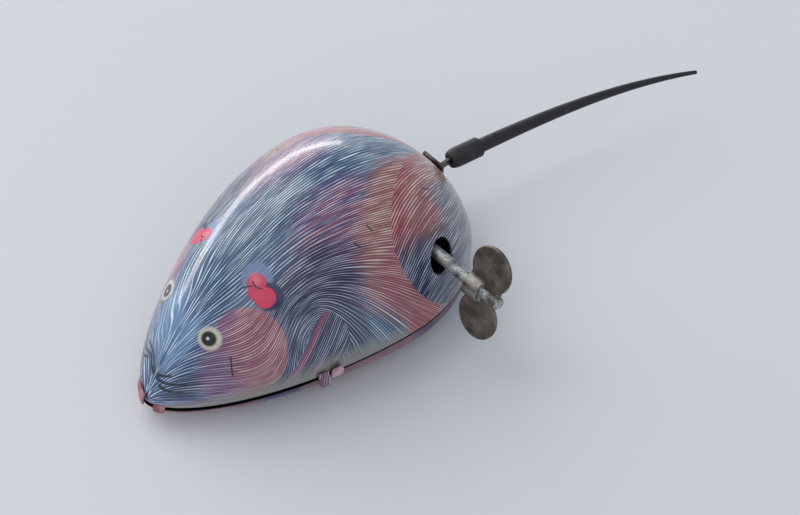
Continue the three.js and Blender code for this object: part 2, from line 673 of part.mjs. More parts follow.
// Governor: the star wheel is braked by a swinging pallet.
const escape = groupAt(C);
const escapePhase = meshingPhase(TEETH.second, secondPhase, B, C, TEETH.pinion);
add(escape, 'star_arbor', arbor(8, 1.0, -6.4, 6.4), STEEL);
add(escape, 'star_pinion', wheel(toothedShape(TEETH.pinion, escapePhase), 1.05, -5.8, -3.7), BRASS);
add(escape, 'star_wheel', wheel(sawShape(TEETH.star, 3.3, 4.3, 0.5), 1.05, -2.5, -1.7), BRASS);
const swing = groupAt(P);
add(swing, 'pallet_arbor', rod(ARBOR_R, -8, 8, 12), STEEL);
add(swing, 'pallet', pallet(), STEEL);

// Front roller on its own axle between the pan's two lugs.
const front = groupAt({ x: FRONT.x, z: GROUND + FRONT.r });
add(front, 'front_axle', frontAxle(), STEEL);
add(front, 'front_roller', frontRoller(), STEEL);

export default mouse;
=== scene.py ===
import json
import math

import bmesh
import bpy
import numpy as np
from mathutils import Matrix, Vector


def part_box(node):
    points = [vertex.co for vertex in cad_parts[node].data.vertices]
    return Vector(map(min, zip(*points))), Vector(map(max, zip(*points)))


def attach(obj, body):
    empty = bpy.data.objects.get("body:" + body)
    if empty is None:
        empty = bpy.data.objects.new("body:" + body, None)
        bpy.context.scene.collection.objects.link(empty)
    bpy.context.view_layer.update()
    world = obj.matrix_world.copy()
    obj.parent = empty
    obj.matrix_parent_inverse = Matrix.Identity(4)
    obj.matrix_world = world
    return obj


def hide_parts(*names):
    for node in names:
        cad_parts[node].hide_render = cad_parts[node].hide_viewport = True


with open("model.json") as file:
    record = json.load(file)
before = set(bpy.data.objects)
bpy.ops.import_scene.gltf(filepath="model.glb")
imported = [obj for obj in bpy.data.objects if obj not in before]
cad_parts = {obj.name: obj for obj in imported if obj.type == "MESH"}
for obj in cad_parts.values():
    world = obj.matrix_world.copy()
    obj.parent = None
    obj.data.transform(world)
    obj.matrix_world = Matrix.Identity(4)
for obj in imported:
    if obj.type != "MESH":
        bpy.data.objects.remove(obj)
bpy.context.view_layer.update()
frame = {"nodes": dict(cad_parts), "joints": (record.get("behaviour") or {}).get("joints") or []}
MM = 0.001
joints = {joint["name"]: joint for joint in frame["joints"]}


# ---------------------------------------------------------------- camera
# It looks down on the mouse's left cheek from ahead and above, a little tilted, as a hand-held one is.
AZIMUTH, ELEVATION = math.radians(134.19), math.radians(50.52)
DISTANCE, LENS, SENSOR, TILT = 0.4091, 93.07, 36, 0.0599
AIM = Vector((-15.54, 13.09, 15.0)) * MM
away = Vector((
    math.sin(AZIMUTH) * math.cos(ELEVATION),
    -math.cos(AZIMUTH) * math.cos(ELEVATION),
    math.sin(ELEVATION),
))
camera = bpy.data.objects.new("camera", bpy.data.cameras.new("camera"))
bpy.context.scene.collection.objects.link(camera)
camera.data.lens = LENS
camera.data.sensor_width = SENSOR
camera.rotation_mode = "QUATERNION"
camera.location = AIM + away * DISTANCE
level = (-away).to_track_quat("-Z", "Y")
camera.rotation_quaternion = level @ Matrix.Rotation(TILT, 3, "Z").to_quaternion()
bpy.context.scene.camera = camera


# ---------------------------------------------------------------- upper shell
# The body is one pressed tinplate dome, half a millimetre thick, with a keyhole punched in its left flank.
# The sheet is printed flat and varnished before it is drawn, so the fur, eyes and ears are all ink.
TIN = 0.5 * MM
low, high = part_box("lower_shell")
REAR, NOSE, HALF_WIDTH = low.x, high.x, high.y
WIDEST_X = REAR + 0.336 * (NOSE - REAR)
TALLEST_X = REAR + 0.494 * (NOSE - REAR)
SEAM_Z, SEAM_SLOPE = 6.0 * MM, -0.06
DOME_HEIGHT = 30.75 * MM
PLAN = (2.25, 1.96), (1.44, 1.65)
CREST = (1.88, 1.63), (1.69, 1.22)
SECTION = 1.94
KEY_X, KEY_Z = joints["key_wind"]["pos_m"][0], joints["key_wind"]["pos_m"][2]
KEYHOLE_R, KEYHOLE_FROM, KEYHOLE_TO = 3.35 * MM, 8 * MM, 30 * MM
PEAK_ROUND = 0.06
AROUND, OUTER_LOOPS, INNER_LOOPS = 440, 120, 26


def share(x, peak, inset, powers):
    """Share of the full width or height at x: (1 - t^p)^(1/q).

    t is the distance from the peak as a share of the way to that end, its corner at the peak rounded off.
    """
    reach = np.where(x >= peak, NOSE - inset - peak, peak - REAR - inset)
    t = np.minimum(np.abs(x - peak) / reach, 1)
    t = np.minimum(np.sqrt(t * t + PEAK_ROUND ** 2) - PEAK_ROUND * (1 - t), 1)
    p, q = (np.where(x >= peak, powers[1][i], powers[0][i]) for i in (0, 1))
    return np.maximum(1 - t ** p, 0) ** (1 / q)


def seam(x):
    """Height of the seam, a straight line that falls towards the nose."""
    return SEAM_Z + SEAM_SLOPE * x


def outline(turn, inset):
    """Plan outline at an angle from the nose: a superellipse whose front and rear have their own powers."""
    front = np.cos(turn) >= 0
    reach = np.where(front, NOSE - inset - WIDEST_X, WIDEST_X - REAR - inset)
    p, q = (np.where(front, PLAN[1][i], PLAN[0][i]) for i in (0, 1))
    x = WIDEST_X + np.sign(np.cos(turn)) * reach * np.abs(np.cos(turn)) ** (2 / p)
    y = np.sign(np.sin(turn)) * (HALF_WIDTH - inset) * np.abs(np.sin(turn)) ** (2 / q)
    return x, y


def dome(x, y, inset):
    """Height of the back over a point: the crest's height there times a superellipse across the width."""
    width = (HALF_WIDTH - inset) * share(x, WIDEST_X, inset, PLAN)
    height = (DOME_HEIGHT - inset) * share(x, TALLEST_X, inset, CREST)
    across = np.minimum(np.abs(y) / np.maximum(width, 1e-9), 1)
    return seam(x) + height * (1 - across ** SECTION) ** (1 / SECTION)


def skin(name, rows, start=None, end=None):
    """A closed mesh through rows of points that each close on themselves, with a pole at either end.

    With no poles the last row joins the first, as on a ring.
    """
    count, around = rows.shape[:2]
    here = np.arange(around)
    there = (here + 1) % around
    points = rows.reshape(-1, 3)
    row = np.arange(count if start is None else count - 1)[:, None] * around
    below = (row + around) % len(points)
    quads = np.stack([row + here, below + here, below + there, row + there], -1).reshape(-1, 4).tolist()
    fans = []
    if start is not None:
        top, bottom = len(points), len(points) + 1
        last = (count - 1) * around
        points = np.vstack([points, [start], [end]])
        fans = np.stack([np.full(around, top), here, there], -1).tolist()
        fans += np.stack([np.full(around, bottom), last + there, last + here], -1).tolist()
    return solid_mesh(name, points, quads + fans)


def solid_mesh(name, points, faces):
    """An object with those points and faces, shaded smooth, its faces turned outward."""
    mesh = bpy.data.meshes.new(name)
    mesh.from_pydata(np.asarray(points).tolist(), [], faces)
    shape = bmesh.new()
    shape.from_mesh(mesh)
    bmesh.ops.recalc_face_normals(shape, faces=shape.faces)
    shape.to_mesh(mesh)
    shape.free()
    mesh.polygons.foreach_set("use_smooth", np.ones(len(mesh.polygons), bool))
    piece = bpy.data.objects.new(name, mesh)
    bpy.context.scene.collection.objects.link(piece)
    return piece


def baked(piece):
    """The piece with its modifiers applied to its mesh."""
    bpy.context.view_layer.update()
    evaluated = piece.evaluated_get(bpy.context.evaluated_depsgraph_get())
    mesh = bpy.data.meshes.new_from_object(evaluated)
    piece.modifiers.clear()
    piece.data = mesh
    return piece


def combined(piece, operation, others):
    """The piece with each other shape joined to it or cut out of it, and those shapes thrown away."""
    for other in others:
        change = piece.modifiers.new("change", "BOOLEAN")
        change.operation = operation
        change.object = other
        change.solver = "EXACT"
        baked(piece)
        bpy.data.objects.remove(other)
    return piece


def sharpened(piece, degrees):
    """The piece with its edges kept sharp where two faces meet at more than that angle."""
    piece.data.set_sharp_from_angle(angle=math.radians(degrees))
    return piece


def turns(count):
    """Equal steps of angle round a full circle."""
    return 2 * np.pi * np.arange(count) / count


def dome_rows(inset, count):
    """Loops from the crown to the rim, drawn close together near the rim as the dome steepens."""
    step = np.sin(np.pi / 2 * np.arange(1, count + 1) / count)[:, None]
    x, y = outline(turns(AROUND), inset)
    x = WIDEST_X + step * (x - WIDEST_X)
    y = step * y
    z = dome(x, y, inset)
    z[-1] = seam(x[-1])
    return np.stack([x, y, z], -1)


def drum(name, radius, x, z, y_from, y_to, sides=96):
    """A plain round cutter along Y."""
    turn = -turns(sides)
    ring = np.stack([x + radius * np.cos(turn), np.zeros(sides), z + radius * np.sin(turn)], -1)
    rows = np.stack([ring + [0, y_from, 0], ring + [0, y_to, 0]])
    return skin(name, rows, [x, y_from, z], [x, y_to, z])


crown_x, crown_y = np.array([WIDEST_X]), np.array([0.0])
upper = skin(
    "upper_shell_printed",
    np.concatenate([dome_rows(0, OUTER_LOOPS), dome_rows(TIN, INNER_LOOPS)[::-1]]),
    [WIDEST_X, 0, dome(crown_x, crown_y, 0)[0]],
    [WIDEST_X, 0, dome(crown_x, crown_y, TIN)[0]],
)
keyhole = drum("keyhole", KEYHOLE_R, KEY_X, KEY_Z, KEYHOLE_FROM, KEYHOLE_TO)
sharpened(combined(upper, "DIFFERENCE", [keyhole]), 38)


def paint_fields(piece, fields):
    """Writes named numbers on the points, which the print's recipe reads as it follows the surface."""
    for name, values in fields.items():
        layer = piece.data.attributes.new(name, "FLOAT", "POINT")
        layer.data.foreach_set("value", np.ascontiguousarray(values, np.float32))


def points_of(piece):
    """The points of the piece's mesh, one to a row."""
    co = np.zeros(len(piece.data.vertices) * 3)
    piece.data.vertices.foreach_get("co", co)
    return co.reshape(-1, 3)


def ramp(value, start, end):
    """0 before start and 1 after end, with a smooth climb between."""
    t = np.clip((value - start) / (end - start), 0, 1)
    return t * t * (3 - 2 * t)


def on_dome(x, u):
    """The point of the outer dome at x, at share u of the way round from the crest to the left seam."""
    turn = u * np.pi / 2
    width = HALF_WIDTH * share(x, WIDEST_X, 0, PLAN)
    height = DOME_HEIGHT * share(x, TALLEST_X, 0, CREST)
    y = width * np.sin(turn) ** (2 / SECTION)
    z = seam(x) + height * np.maximum(np.cos(turn), 0) ** (2 / SECTION)
    return np.stack([x, y, z], -1)


LEG_X, LEG_U = 9.0, 0.64  # rear end of the foreleg's front border, in millimetres and as a share
FAN_X, FAN_REACH = 38.5, 22.0  # the back's hairs fan out from this x, over this length, in millimetres
STONE_U, STONE_X_REACH, STONE_U_REACH, STONE_EDGE = 1.02, 8.6, 0.4, 0.8  # the bulge that the hairs rise over


def leg_front(u):
    """Front border of the printed foreleg, as x in millimetres."""
    return LEG_X + 23 * np.maximum(u - LEG_U, 0) ** 0.8


def strands(x, u):
    """Three fields whose level lines the printed hairs of the back, the rump and the foreleg follow.

    Back hairs fan out from the muzzle and rise over the foreleg as water over a stone. Behind it, the one
    that crossed x = 9 at share c has come down to c + (0.0012 c + 0.0084 e^((c - 0.58) / 0.07)) (9 - x)^1.58.
    Rump hairs climb from the rump line towards the tail. Foreleg hairs run beside its front border.
    """
    behind = np.maximum(LEG_X - x, 0) ** 1.58
    low_c, high_c = np.zeros_like(u), np.ones_like(u)
    for _ in range(22):  # halves the space left for c
        c = (low_c + high_c) / 2
        too_far = c + (0.0012 * c + 0.0084 * np.exp((c - 0.58) / 0.07)) * behind > u
        low_c, high_c = np.where(too_far, low_c, c), np.where(too_far, c, high_c)
    front_x = np.maximum(x, LEG_X)
    ahead = np.maximum(FAN_X - front_x, 0) / FAN_REACH
    ahead = ahead / (1 + ahead ** 8) ** 0.125
    fan = 0.06 + 0.42 * ahead + 0.52 * ahead ** 2
    stone = ((front_x - LEG_X) / STONE_X_REACH) ** 2 + ((STONE_U - c) / STONE_U_REACH) ** 2
    stone = STONE_EDGE + np.log1p(np.exp((stone - STONE_EDGE) * 8)) / 8
    lift = (STONE_U - c) / stone * ramp(front_x, 26, 12) * ramp(c, 0.1, 0.5)
    back = 1 - c / (fan + (1 - fan) * c) - lift
    climb = 0.34 * (1 - np.exp(-np.maximum(-6 - x, 0) / 13))
    rump = u + climb - 0.05 * ramp(x, -20, -9) * (u - 0.4)
    return back, rump, (leg_front(u) - x) / 9


def artwork_place(points):
    """x and u of each point, then 1 where it is on the mouse's right, and 1 where it is on an inner face."""
    x, y, z = points.T
    width = np.maximum(HALF_WIDTH * share(x, WIDEST_X, 0, PLAN), 1e-6)
    height = np.maximum(DOME_HEIGHT * share(x, TALLEST_X, 0, CREST), 1e-6)
    side = (np.abs(y) / width) ** (SECTION / 2)
    rise = (np.maximum(z - seam(x), 0) / height) ** (SECTION / 2)
    u = np.arctan2(side, rise) / (np.pi / 2)
    on_right = ramp(-y / MM, 0, 4)
    inside = ramp(side ** 2 + rise ** 2, 0.99, 0.975) * ramp(width / MM, 2, 5)
    return x / MM, u, on_right, inside


def fur_fields(points):
    """Where each point lies on the artwork, and how the hairs and the borders of the colours run there.

    x runs along the body in millimetres, and u round it, 0 on the crest and 1 at the seam.
    The sheet wasn't quite square in the die, so the head's right side has the artwork lower and further back.
    A pace is the power of two that sets the hairs about half a millimetre apart. The edges are how far inside
    the border of the rump, cheek and foreleg a point is, in millimetres. fur_right is 1 on the right side.
    fur_bare is 1 on the shell's inner face, where the sheet has no print.
    """
    x, u, on_right, inside = artwork_place(points)
    u = u - 0.15 * on_right * ramp(x, 8, 26) * ramp(u, 0, 0.35)
    x = x + 1.9 * on_right * ramp(x, 10, 25)
    step = 0.01
    u_less, u_more = np.clip(u - step, 0, 1), np.clip(u + step, 0, 1)
    lengthwise = on_dome((x + step) * MM, u) - on_dome((x - step) * MM, u)
    crosswise = on_dome(x * MM, u_more) - on_dome(x * MM, u_less)
    along = np.linalg.norm(lengthwise, axis=1) / (2 * step * MM)
    round_it = np.linalg.norm(crosswise, axis=1) / MM
    here = strands(x, u)
    ahead, behind = strands(x + step, u), strands(x - step, u)
    above, below = strands(x, u_less), strands(x, u_more)
    fields = {}
    for i, (name, apart) in enumerate({"fur_back": 0.48, "fur_rump": 0.45, "fur_leg": 0.46}.items()):
        slope_x = (ahead[i] - behind[i]) / (2 * step) / np.maximum(along, 1)
        slope_u = (below[i] - above[i]) / np.maximum(round_it, 1e-3)
        slope = np.maximum(np.hypot(slope_x, slope_u), 2e-3)
        fields[name] = here[i]
        fields[name + "_pace"] = -np.log2(slope * apart)
    rump_line = -9.2 - np.where(u > 0.58, 60, 74) * (u - 0.58) ** 2
    leg_rear = 4.6 + 90 * (u - 0.8) ** 2
    cheek = 1 - np.sqrt(((x - 25.5) / 9.6) ** 2 + ((u - 0.64) / 0.37) ** 2)
    art = on_dome(x * MM, np.clip(u, 0, 1)) / MM
    fields.update({"fur_x": x, "fur_u": u, "fur_right": on_right, "fur_bare": inside})
    fields.update({"art_x": art[:, 0], "art_y": art[:, 1], "art_z": art[:, 2]})
    fields["rump_edge"] = rump_line - x
    fields["cheek_edge"] = cheek * 9.6
    fields["leg_edge"] = np.minimum(np.minimum(leg_front(u) - x, x - leg_rear), (u - 0.635) * 28)
    return fields


paint_fields(upper, fur_fields(points_of(upper)))


class Ink:
    """A number or colour in a finish's recipe: +, -, * and / on it add Math nodes."""

    def __init__(self, finish, socket):
        self.finish = finish
        self.socket = socket

    def maths(self, operation, *values):
        """A Math node on those numbers."""
        return self.finish.node("ShaderNodeMath", {"operation": operation}, dict(enumerate(values)))

    def __add__(self, other):
        return self.maths("ADD", self, other)

    def __radd__(self, other):
        return self.maths("ADD", other, self)

    def __sub__(self, other):
        return self.maths("SUBTRACT", self, other)

    def __rsub__(self, other):
        return self.maths("SUBTRACT", other, self)

    def __mul__(self, other):
        return self.maths("MULTIPLY", self, other)

    def __rmul__(self, other):
        return self.maths("MULTIPLY", other, self)

    def __truediv__(self, other):
        return self.maths("DIVIDE", self, other)

    def __pow__(self, other):
        return self.maths("POWER", self, other)

    def __rpow__(self, other):
        return self.maths("POWER", other, self)

    def fraction(self):
        """What is left of it past its whole number."""
        return self.maths("FRACT", self)

    def whole(self):
        """The whole number at or below it."""
        return self.maths("FLOOR", self)

    def size(self):
        """It without its sign."""
        return self.maths("ABSOLUTE", self)

    def least(self, other):
        """The smaller of the two."""
        return self.maths("MINIMUM", self, other)

    def most(self, other):
        """The larger of the two."""
        return self.maths("MAXIMUM", self, other)

    def rises(self, start, end):
        """0 before start and 1 after end, with a smooth climb between; start may be the larger."""
        settings = {"interpolation_type": "SMOOTHSTEP"}
        return self.finish.node("ShaderNodeMapRange", settings, {0: self, 1: start, 2: end})


class Finish:
    """One surface finish, with the recipe that colours it."""

    def __init__(self, name):
        self.material = bpy.data.materials.new(name)
        self.material.use_nodes = True
        self.tree = self.material.node_tree
        self.tree.nodes.clear()

    def node(self, kind, settings, inputs, output=0):
        """Adds a node: its settings first, then its sockets' values or links. Returns one of its outputs."""
        made = self.tree.nodes.new(kind)
        for key, value in settings.items():
            setattr(made, key, value)
        for key, value in inputs.items():
            if isinstance(value, Ink):
                self.tree.links.new(value.socket, made.inputs[key])
            else:
                made.inputs[key].default_value = value
        return Ink(self, made.outputs[output])

    def field(self, name):
        """One of the named numbers that paint_fields wrote on the points."""
        return self.node("ShaderNodeAttribute", {"attribute_name": name}, {}, "Fac")

    def place(self):
        """Position in the mouse's own frame, in millimetres, as a vector."""
        here = self.node("ShaderNodeTexCoord", {}, {}, "Object")
        return self.node("ShaderNodeVectorMath", {"operation": "SCALE"}, {0: here, "Scale": 1 / MM})

    def axes(self, vector):
        """A vector's x, y and z."""
        return [self.node("ShaderNodeSeparateXYZ", {}, {0: vector}, i) for i in range(3)]

    def vector(self, x, y, z):
        """A vector made of three numbers."""
        return self.node("ShaderNodeCombineXYZ", {}, {0: x, 1: y, 2: z})

    def noise(self, where, scale, detail=2.0, roughness=0.5):
        """A cloudy field from 0 to 1; scale is how many clouds fall in one unit of the place."""
        values = {"Vector": where, "Scale": scale, "Detail": detail, "Roughness": roughness}
        return self.node("ShaderNodeTexNoise", {}, values, "Fac")

    def mix(self, under, over, mask):
        """Colour over laid on colour under, where the mask is 1."""
        values = {0: mask, 6: solid(under), 7: solid(over)}
        return self.node("ShaderNodeMix", {"data_type": "RGBA"}, values, 2)

    def blend(self, under, over, mask):
        """The number over in place of the number under, where the mask is 1."""
        return self.node("ShaderNodeMix", {"data_type": "FLOAT"}, {0: mask, 2: under, 3: over})

    def bump(self, height, depth, normal=None):
        """Surface normal for a height field whose full range is depth metres, laid over another normal."""
        values = {"Height": height, "Distance": depth, "Strength": 1.0}
        if normal is not None:
            values["Normal"] = normal
        return self.node("ShaderNodeBump", {}, values)

    def surface(self, **sockets):
        """The shader at the end of the recipe; spaces in socket names are written as underscores."""
        values = {name.replace("_", " "): solid(value) for name, value in sockets.items()}
        shader = self.node("ShaderNodeBsdfPrincipled", {}, values)
        output = self.tree.nodes.new("ShaderNodeOutputMaterial")
        self.tree.links.new(shader.socket, output.inputs["Surface"])
        return self.material


def solid(value):
    """A colour given as three sRGB bytes, as the linear colour that a socket takes."""
    if not isinstance(value, tuple):
        return value
    linear = [(c / 255 / 12.92) if c <= 10 else ((c / 255 + 0.055) / 1.055) ** 2.4 for c in value]
    return (*linear, 1.0)


def hairs(finish, name, along, seed):
    """Thin tapering strokes on the level lines of a field, equally close where it is steep and where flat."""
    across, pace = finish.field(name), finish.field(name + "_pace")
    strokes = []
    for finer in (0, 1):
        step = 2 ** (pace.whole() + finer)
        sway = finish.noise(finish.vector(across * step * 0.21, along * 0.1, seed), 1.0, 1.0)
        lane = across * step + sway * 0.9
        number = lane.whole()
        off_centre = (lane.fraction() - 0.5).size() * 2
        length = finish.noise(finish.vector(number * 7.31, along * 0.17 + number * 3.7, seed), 1.0, 1.5)
        width = length.rises(0.3, 0.68) * 0.42
        press = finish.noise(finish.vector(number * 3.1, along * 0.3, seed + 4), 1.0, 0.0)
        strength = press.rises(0.3, 0.55) * 0.35 + 0.65
        strokes.append((1 - (off_centre - width).rises(-0.15, 0.15)) * strength)
    return finish.blend(strokes[0], strokes[1], pace.fraction().rises(0.3, 0.7))


def patch(x, u, centre_x, centre_u, reach_x, reach_u, ragged, soft=0.35):
    """1 inside a feathered oval of the artwork, whose edge the ragged field breaks up."""
    from_x = (x - centre_x) / reach_x
    from_u = (u - centre_u) / reach_u
    away = (from_x * from_x + from_u * from_u) ** 0.5 + ragged
    return 1 - away.rises(1 - soft, 1 + soft)


def spot(finish, place, centre, radius, soft=0.08):
    """1 inside a printed round spot of that radius, in millimetres."""
    away = finish.node("ShaderNodeVectorMath", {"operation": "DISTANCE"}, {0: place, 1: centre}, 1)
    return 1 - away.rises(radius - soft, radius + soft)


def printed_fur(tin, x, u, grain):
    """The fur, dark inks and pale hairs coloured in zones. Returns its colour, and 1 where a hair is."""
    back, leg, on_right = tin.field("fur_back"), tin.field("fur_leg"), tin.field("fur_right")
    rump_edge, leg_edge, cheek_edge = tin.field("rump_edge"), tin.field("leg_edge"), tin.field("cheek_edge")
    along = x + u * 14
    ragged = (grain - 0.5) * 0.8
    streak = tin.noise(tin.vector(back * 34, along * 0.05, 5.0), 1.0, 2.0).rises(0.35, 0.65)

    in_rump = (rump_edge + ragged * 1.2).rises(-0.25, 0.25)
    in_leg = leg_edge.rises(-0.15, 0.15)
    in_cheek = (cheek_edge + ragged * 0.5).rises(-0.1, 0.5) * (x + ragged * 6).rises(28.5, 22.5)
    below_crest = (u + ragged * 0.08 - on_right * 0.24).rises(0.04, 0.15)
    in_band = (rump_edge + ragged * 12).rises(-11.5, -5) * below_crest
    rump_front = (rump_edge + ragged * 3).rises(6.5, 1.5)
    rear_end = (x + ragged * 5).rises(-21, -27)
    leg_front_band = (leg + ragged * 0.02).rises(0.02, 0.04) * leg.rises(0.24, 0.19)
    zones = [
        (streak * 0.6, (62, 108, 138), (214, 236, 244)),
        (patch(x, u, -4, 0.38, 13, 0.28, ragged) * 0.8, (76, 66, 116), (204, 188, 216)),
        (streak * patch(x, u, -4, 0.42, 13, 0.3, ragged), (138, 72, 100), (222, 186, 202)),
        (in_band, (154, 98, 98), (232, 202, 192)),
        ((rump_edge + ragged * 9).rises(-10, -4) * u.rises(0.5, 0.66), (146, 76, 90), (220, 180, 184)),
        (patch(x, u, -8.5, 0.66, 3.4, 0.14, ragged), (152, 72, 86), (216, 168, 168)),
        (patch(x, u, -12.4, 0.95, 4.2, 0.12, ragged), (152, 54, 70), (196, 134, 138)),
        (patch(x, u, 8, 0.5, 9.5, 0.22, ragged) * 0.9, (20, 26, 64), (178, 182, 216)),
        (patch(x, u, 3.4, 0.85, 2.9, 0.22, ragged) * 0.95, (20, 40, 80), (156, 172, 202)),
        (patch(x, u, 16.2, 0.86, 3.4, 0.2, ragged), (32, 44, 86), (148, 160, 194)),
        ((x + ragged * 3).rises(21, 27), (56, 86, 130), (206, 226, 246)),
        (patch(x, u, 31, 0.12, 4.5, 0.12, ragged) * 0.8, (112, 150, 190), (200, 220, 238)),
        (patch(x, u, 34, 0.6, 3.4, 0.22, ragged) * 0.85, (32, 50, 84), (116, 136, 166)),
        (patch(x, u, 27, 0.72, 4.6, 0.36, ragged), (106, 72, 112), (176, 150, 180)),
        (patch(x, u, 30, 0.97, 9, 0.12, ragged) * 0.8, (116, 94, 124), (184, 172, 192)),
        (in_cheek, (148, 80, 96), (226, 192, 196)),
        (patch(x, u, 23.8, 0.33, 2.0, 0.05, ragged) * 0.8, (118, 58, 112), (174, 122, 166)),
        (in_rump, (150, 82, 86), (230, 198, 194)),
        (in_rump * (u + ragged * 0.1).rises(0.4, 0.3), (158, 98, 98), (230, 202, 194)),
        (in_rump * rump_front * u.rises(0.6, 0.48) * (streak * 0.6 + 0.4), (152, 50, 68), (222, 152, 156)),
        (in_rump * (u + ragged * 0.12).rises(0.46, 0.62), (26, 40, 78), (186, 194, 214)),
        (in_rump * rear_end * (u + ragged * 0.1).rises(0.24, 0.38), (98, 102, 124), (210, 210, 216)),
        (in_leg, (22, 30, 72), (176, 182, 212)),
        (patch(x, u, 9.6, 1.0, 3.4, 0.1, ragged) * 0.6, (138, 78, 104), (216, 190, 204)),
        (in_leg * leg_front_band, (132, 56, 98), (198, 140, 172)),
    ]
    ink, hair = (42, 72, 112), (214, 230, 244)
    for mask, dark, pale in zones:
        ink = tin.mix(ink, dark, mask)
        hair = tin.mix(hair, pale, mask)
    ink = tin.mix(ink, (0, 0, 0), 0.1)
    hair = tin.mix(hair, (255, 255, 255), 0.2)
    fur = tin.blend(hairs(tin, "fur_back", along, 1.0), hairs(tin, "fur_rump", x, 2.0), in_rump)
    fur = tin.blend(fur, hairs(tin, "fur_leg", u * 24, 3.0), in_leg)
    return tin.mix(ink, hair, fur), fur


# An ear is three red lobes over a pale halo and a navy one, with a pink spot of painted highlight.
# Each lobe has a centre and radius. Each other spot has a colour, centre, radius, softness and strength.
EAR_LOBES = ((16.2, 7.0, 27.5), 1.85), ((16.3, 9.4, 25.5), 2.15), ((17.1, 7.9, 26.3), 1.65)
EAR_HALOS = (
    ((118, 138, 176), (15.7, 6.5, 28.2), 3.0, 0.35, 0.9),
    ((28, 36, 84), (15.5, 9.7, 25.5), 2.8, 0.35, 1.0),
)
EAR_PAINTED_HIGHLIGHT_AND_EYE = (
    # painted highlight: a soft light pink spot on the upper lobe, where light falls on the raised ear
    ((232, 108, 132), (16.0, 6.5, 27.9), 1.1, 0.8, 1.0),
    ((206, 200, 190), (26.9, 5.8, 18.5), 2.35, 0.35, 1.0),
    ((128, 132, 66), (27.1, 5.7, 18.5), 1.6, 0.15, 1.0),
    ((10, 10, 14), (27.1, 5.7, 18.5), 1.38, 0.12, 1.0),
    ((214, 216, 222), (27.25, 5.55, 18.55), 0.4, 0.12, 1.0),
)


def printed_face(tin, colour):
    """The ears, each with a painted highlight, and eyes over a colour. Returns the new colour, and 1 on an
    ear's lobes.
    """
    art = tin.vector(tin.field("art_x"), tin.field("art_y"), tin.field("art_z"))
    lobes = 0.0
    for centre, radius in EAR_LOBES:
        lobes = spot(tin, art, centre, radius, 0.12).most(lobes)
    for tint, centre, radius, soft, strength in EAR_HALOS:
        colour = tin.mix(colour, tint, spot(tin, art, centre, radius, soft) * strength)
    colour = tin.mix(colour, (220, 44, 88), lobes)
    for tint, centre, radius, soft, strength in EAR_PAINTED_HIGHLIGHT_AND_EYE:
        colour = tin.mix(colour, tint, spot(tin, art, centre, radius, soft) * strength)
    return colour, lobes


ROUND_MM = 38  # typical way round the dome from the crest to the seam
# A whisker lies on the line x = root - bend * u^power, between two values of u.
WHISKERS = (36.0, 12.7, 2.0, 0.0, 0.38), (36.3, 16.5, 3.2, 0.03, 0.66), (36.7, 17.2, 4.8, 0.2, 0.75)
# A scratch runs from one (x, u) to another, and bows out by a quarter of its length times its curve.
SCRATCHES = (
    ((25.6, 0.559), (26.4, 0.727), 0.06),
    ((27.2, 0.657), (25.2, 0.705), 0.1),
    ((19.9, 0.223), (17.2, 0.277), -0.25),
    ((16.8, 0.249), (16.1, 0.332), 0.53),
    ((-22.6, 0.312), (-24.8, 0.332), 0.5),
    ((-6.4, 0.368), (-6.9, 0.405), 0.3),
    ((-2.3, 0.41), (-3.1, 0.443), 0.3),
)


def printed_lines(x, u):
    """1 on the fine dark lines: whiskers beside the nose, and short scratches on cheek, ear and flank."""
    lines = 0.0
    for root, bend, power, start, end in WHISKERS:
        line = (x - root + u ** power * bend).size().rises(0.3, 0.1)
        lines = line * u.rises(start, start + 0.05) * u.rises(end, end - 0.1) + lines
    for start, end, curve in SCRATCHES:
        run, fall = end[0] - start[0], (end[1] - start[1]) * ROUND_MM
        length = math.hypot(run, fall)
        from_x, from_u = x - start[0], (u - start[1]) * ROUND_MM
        gone = (from_x * run + from_u * fall) / length ** 2
        off_line = (from_x * fall - from_u * run) / length - gone * (1 - gone) * length * curve
        lines = off_line.size().rises(0.2, 0.1) * gone.rises(-0.02, 0.04) * gone.rises(1.02, 0.96) + lines
    return lines.least(1.0)


def printed_tin():
    """The printed sheet: fur, with ears, eyes and whiskers over it, rubbed in places, under clear varnish."""
    tin = Finish("printed_tin")
    x, u, bare = tin.field("fur_x"), tin.field("fur_u"), tin.field("fur_bare")
    grain = tin.noise(tin.vector(tin.field("fur_back") * 16, (x + u * 14) * 0.1, 0), 1.0, 3.0, 0.6)
    colour, fur = printed_fur(tin, x, u, grain)
    colour, lobes = printed_face(tin, colour)
    colour = tin.mix(colour, (20, 16, 28), printed_lines(x, u) * 0.92)
    place = tin.place()
    rub = tin.noise(place, 0.35, 5.0, 0.65).rises(0.68, 0.78)
    fleck = tin.noise(place, 1.9, 2.0, 0.6).rises(0.75, 0.79)
    colour = tin.mix(colour, (52, 46, 48), fleck * 0.55)
    colour = tin.mix(colour, (172, 170, 164), bare)
    dents = tin.bump(tin.noise(place, 0.09, 1.0), 0.12 * MM)
    raised = tin.bump(lobes * 0.7 + fur * 0.05 + rub * 0.03, 0.16 * MM, dents)
    return tin.surface(
        Base_Color=colour, Roughness=0.24 + rub * 0.2 + grain * 0.08, Normal=raised, Metallic=bare * 0.9,
        IOR=1.52, Coat_Weight=(1 - bare) * 0.35, Coat_Roughness=0.1,
    )


def place_piece(piece, finish, slot, body, *nodes):
    """Gives a piece its finish, rides it on its body, and hides the nodes it replaces; slot is not used."""
    piece.data.materials.clear()
    piece.data.materials.append(finish)
    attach(piece, body)
    for node in nodes:
        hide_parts(node)


fur_print = printed_tin()
place_piece(upper, fur_print, "litho_tin_top", "chassis", "upper_shell")


# ---------------------------------------------------------------- tabs of the upper shell
# Strips left on the upper shell's rim are bent down over the pan and hammered flat, which holds it shut.
# Two are on the flanks; the nose has a wide one and a short one, rubbed pink where the print has worn.
TAB_OUT, TAB_IN = 0.6 * MM, 0.2 * MM
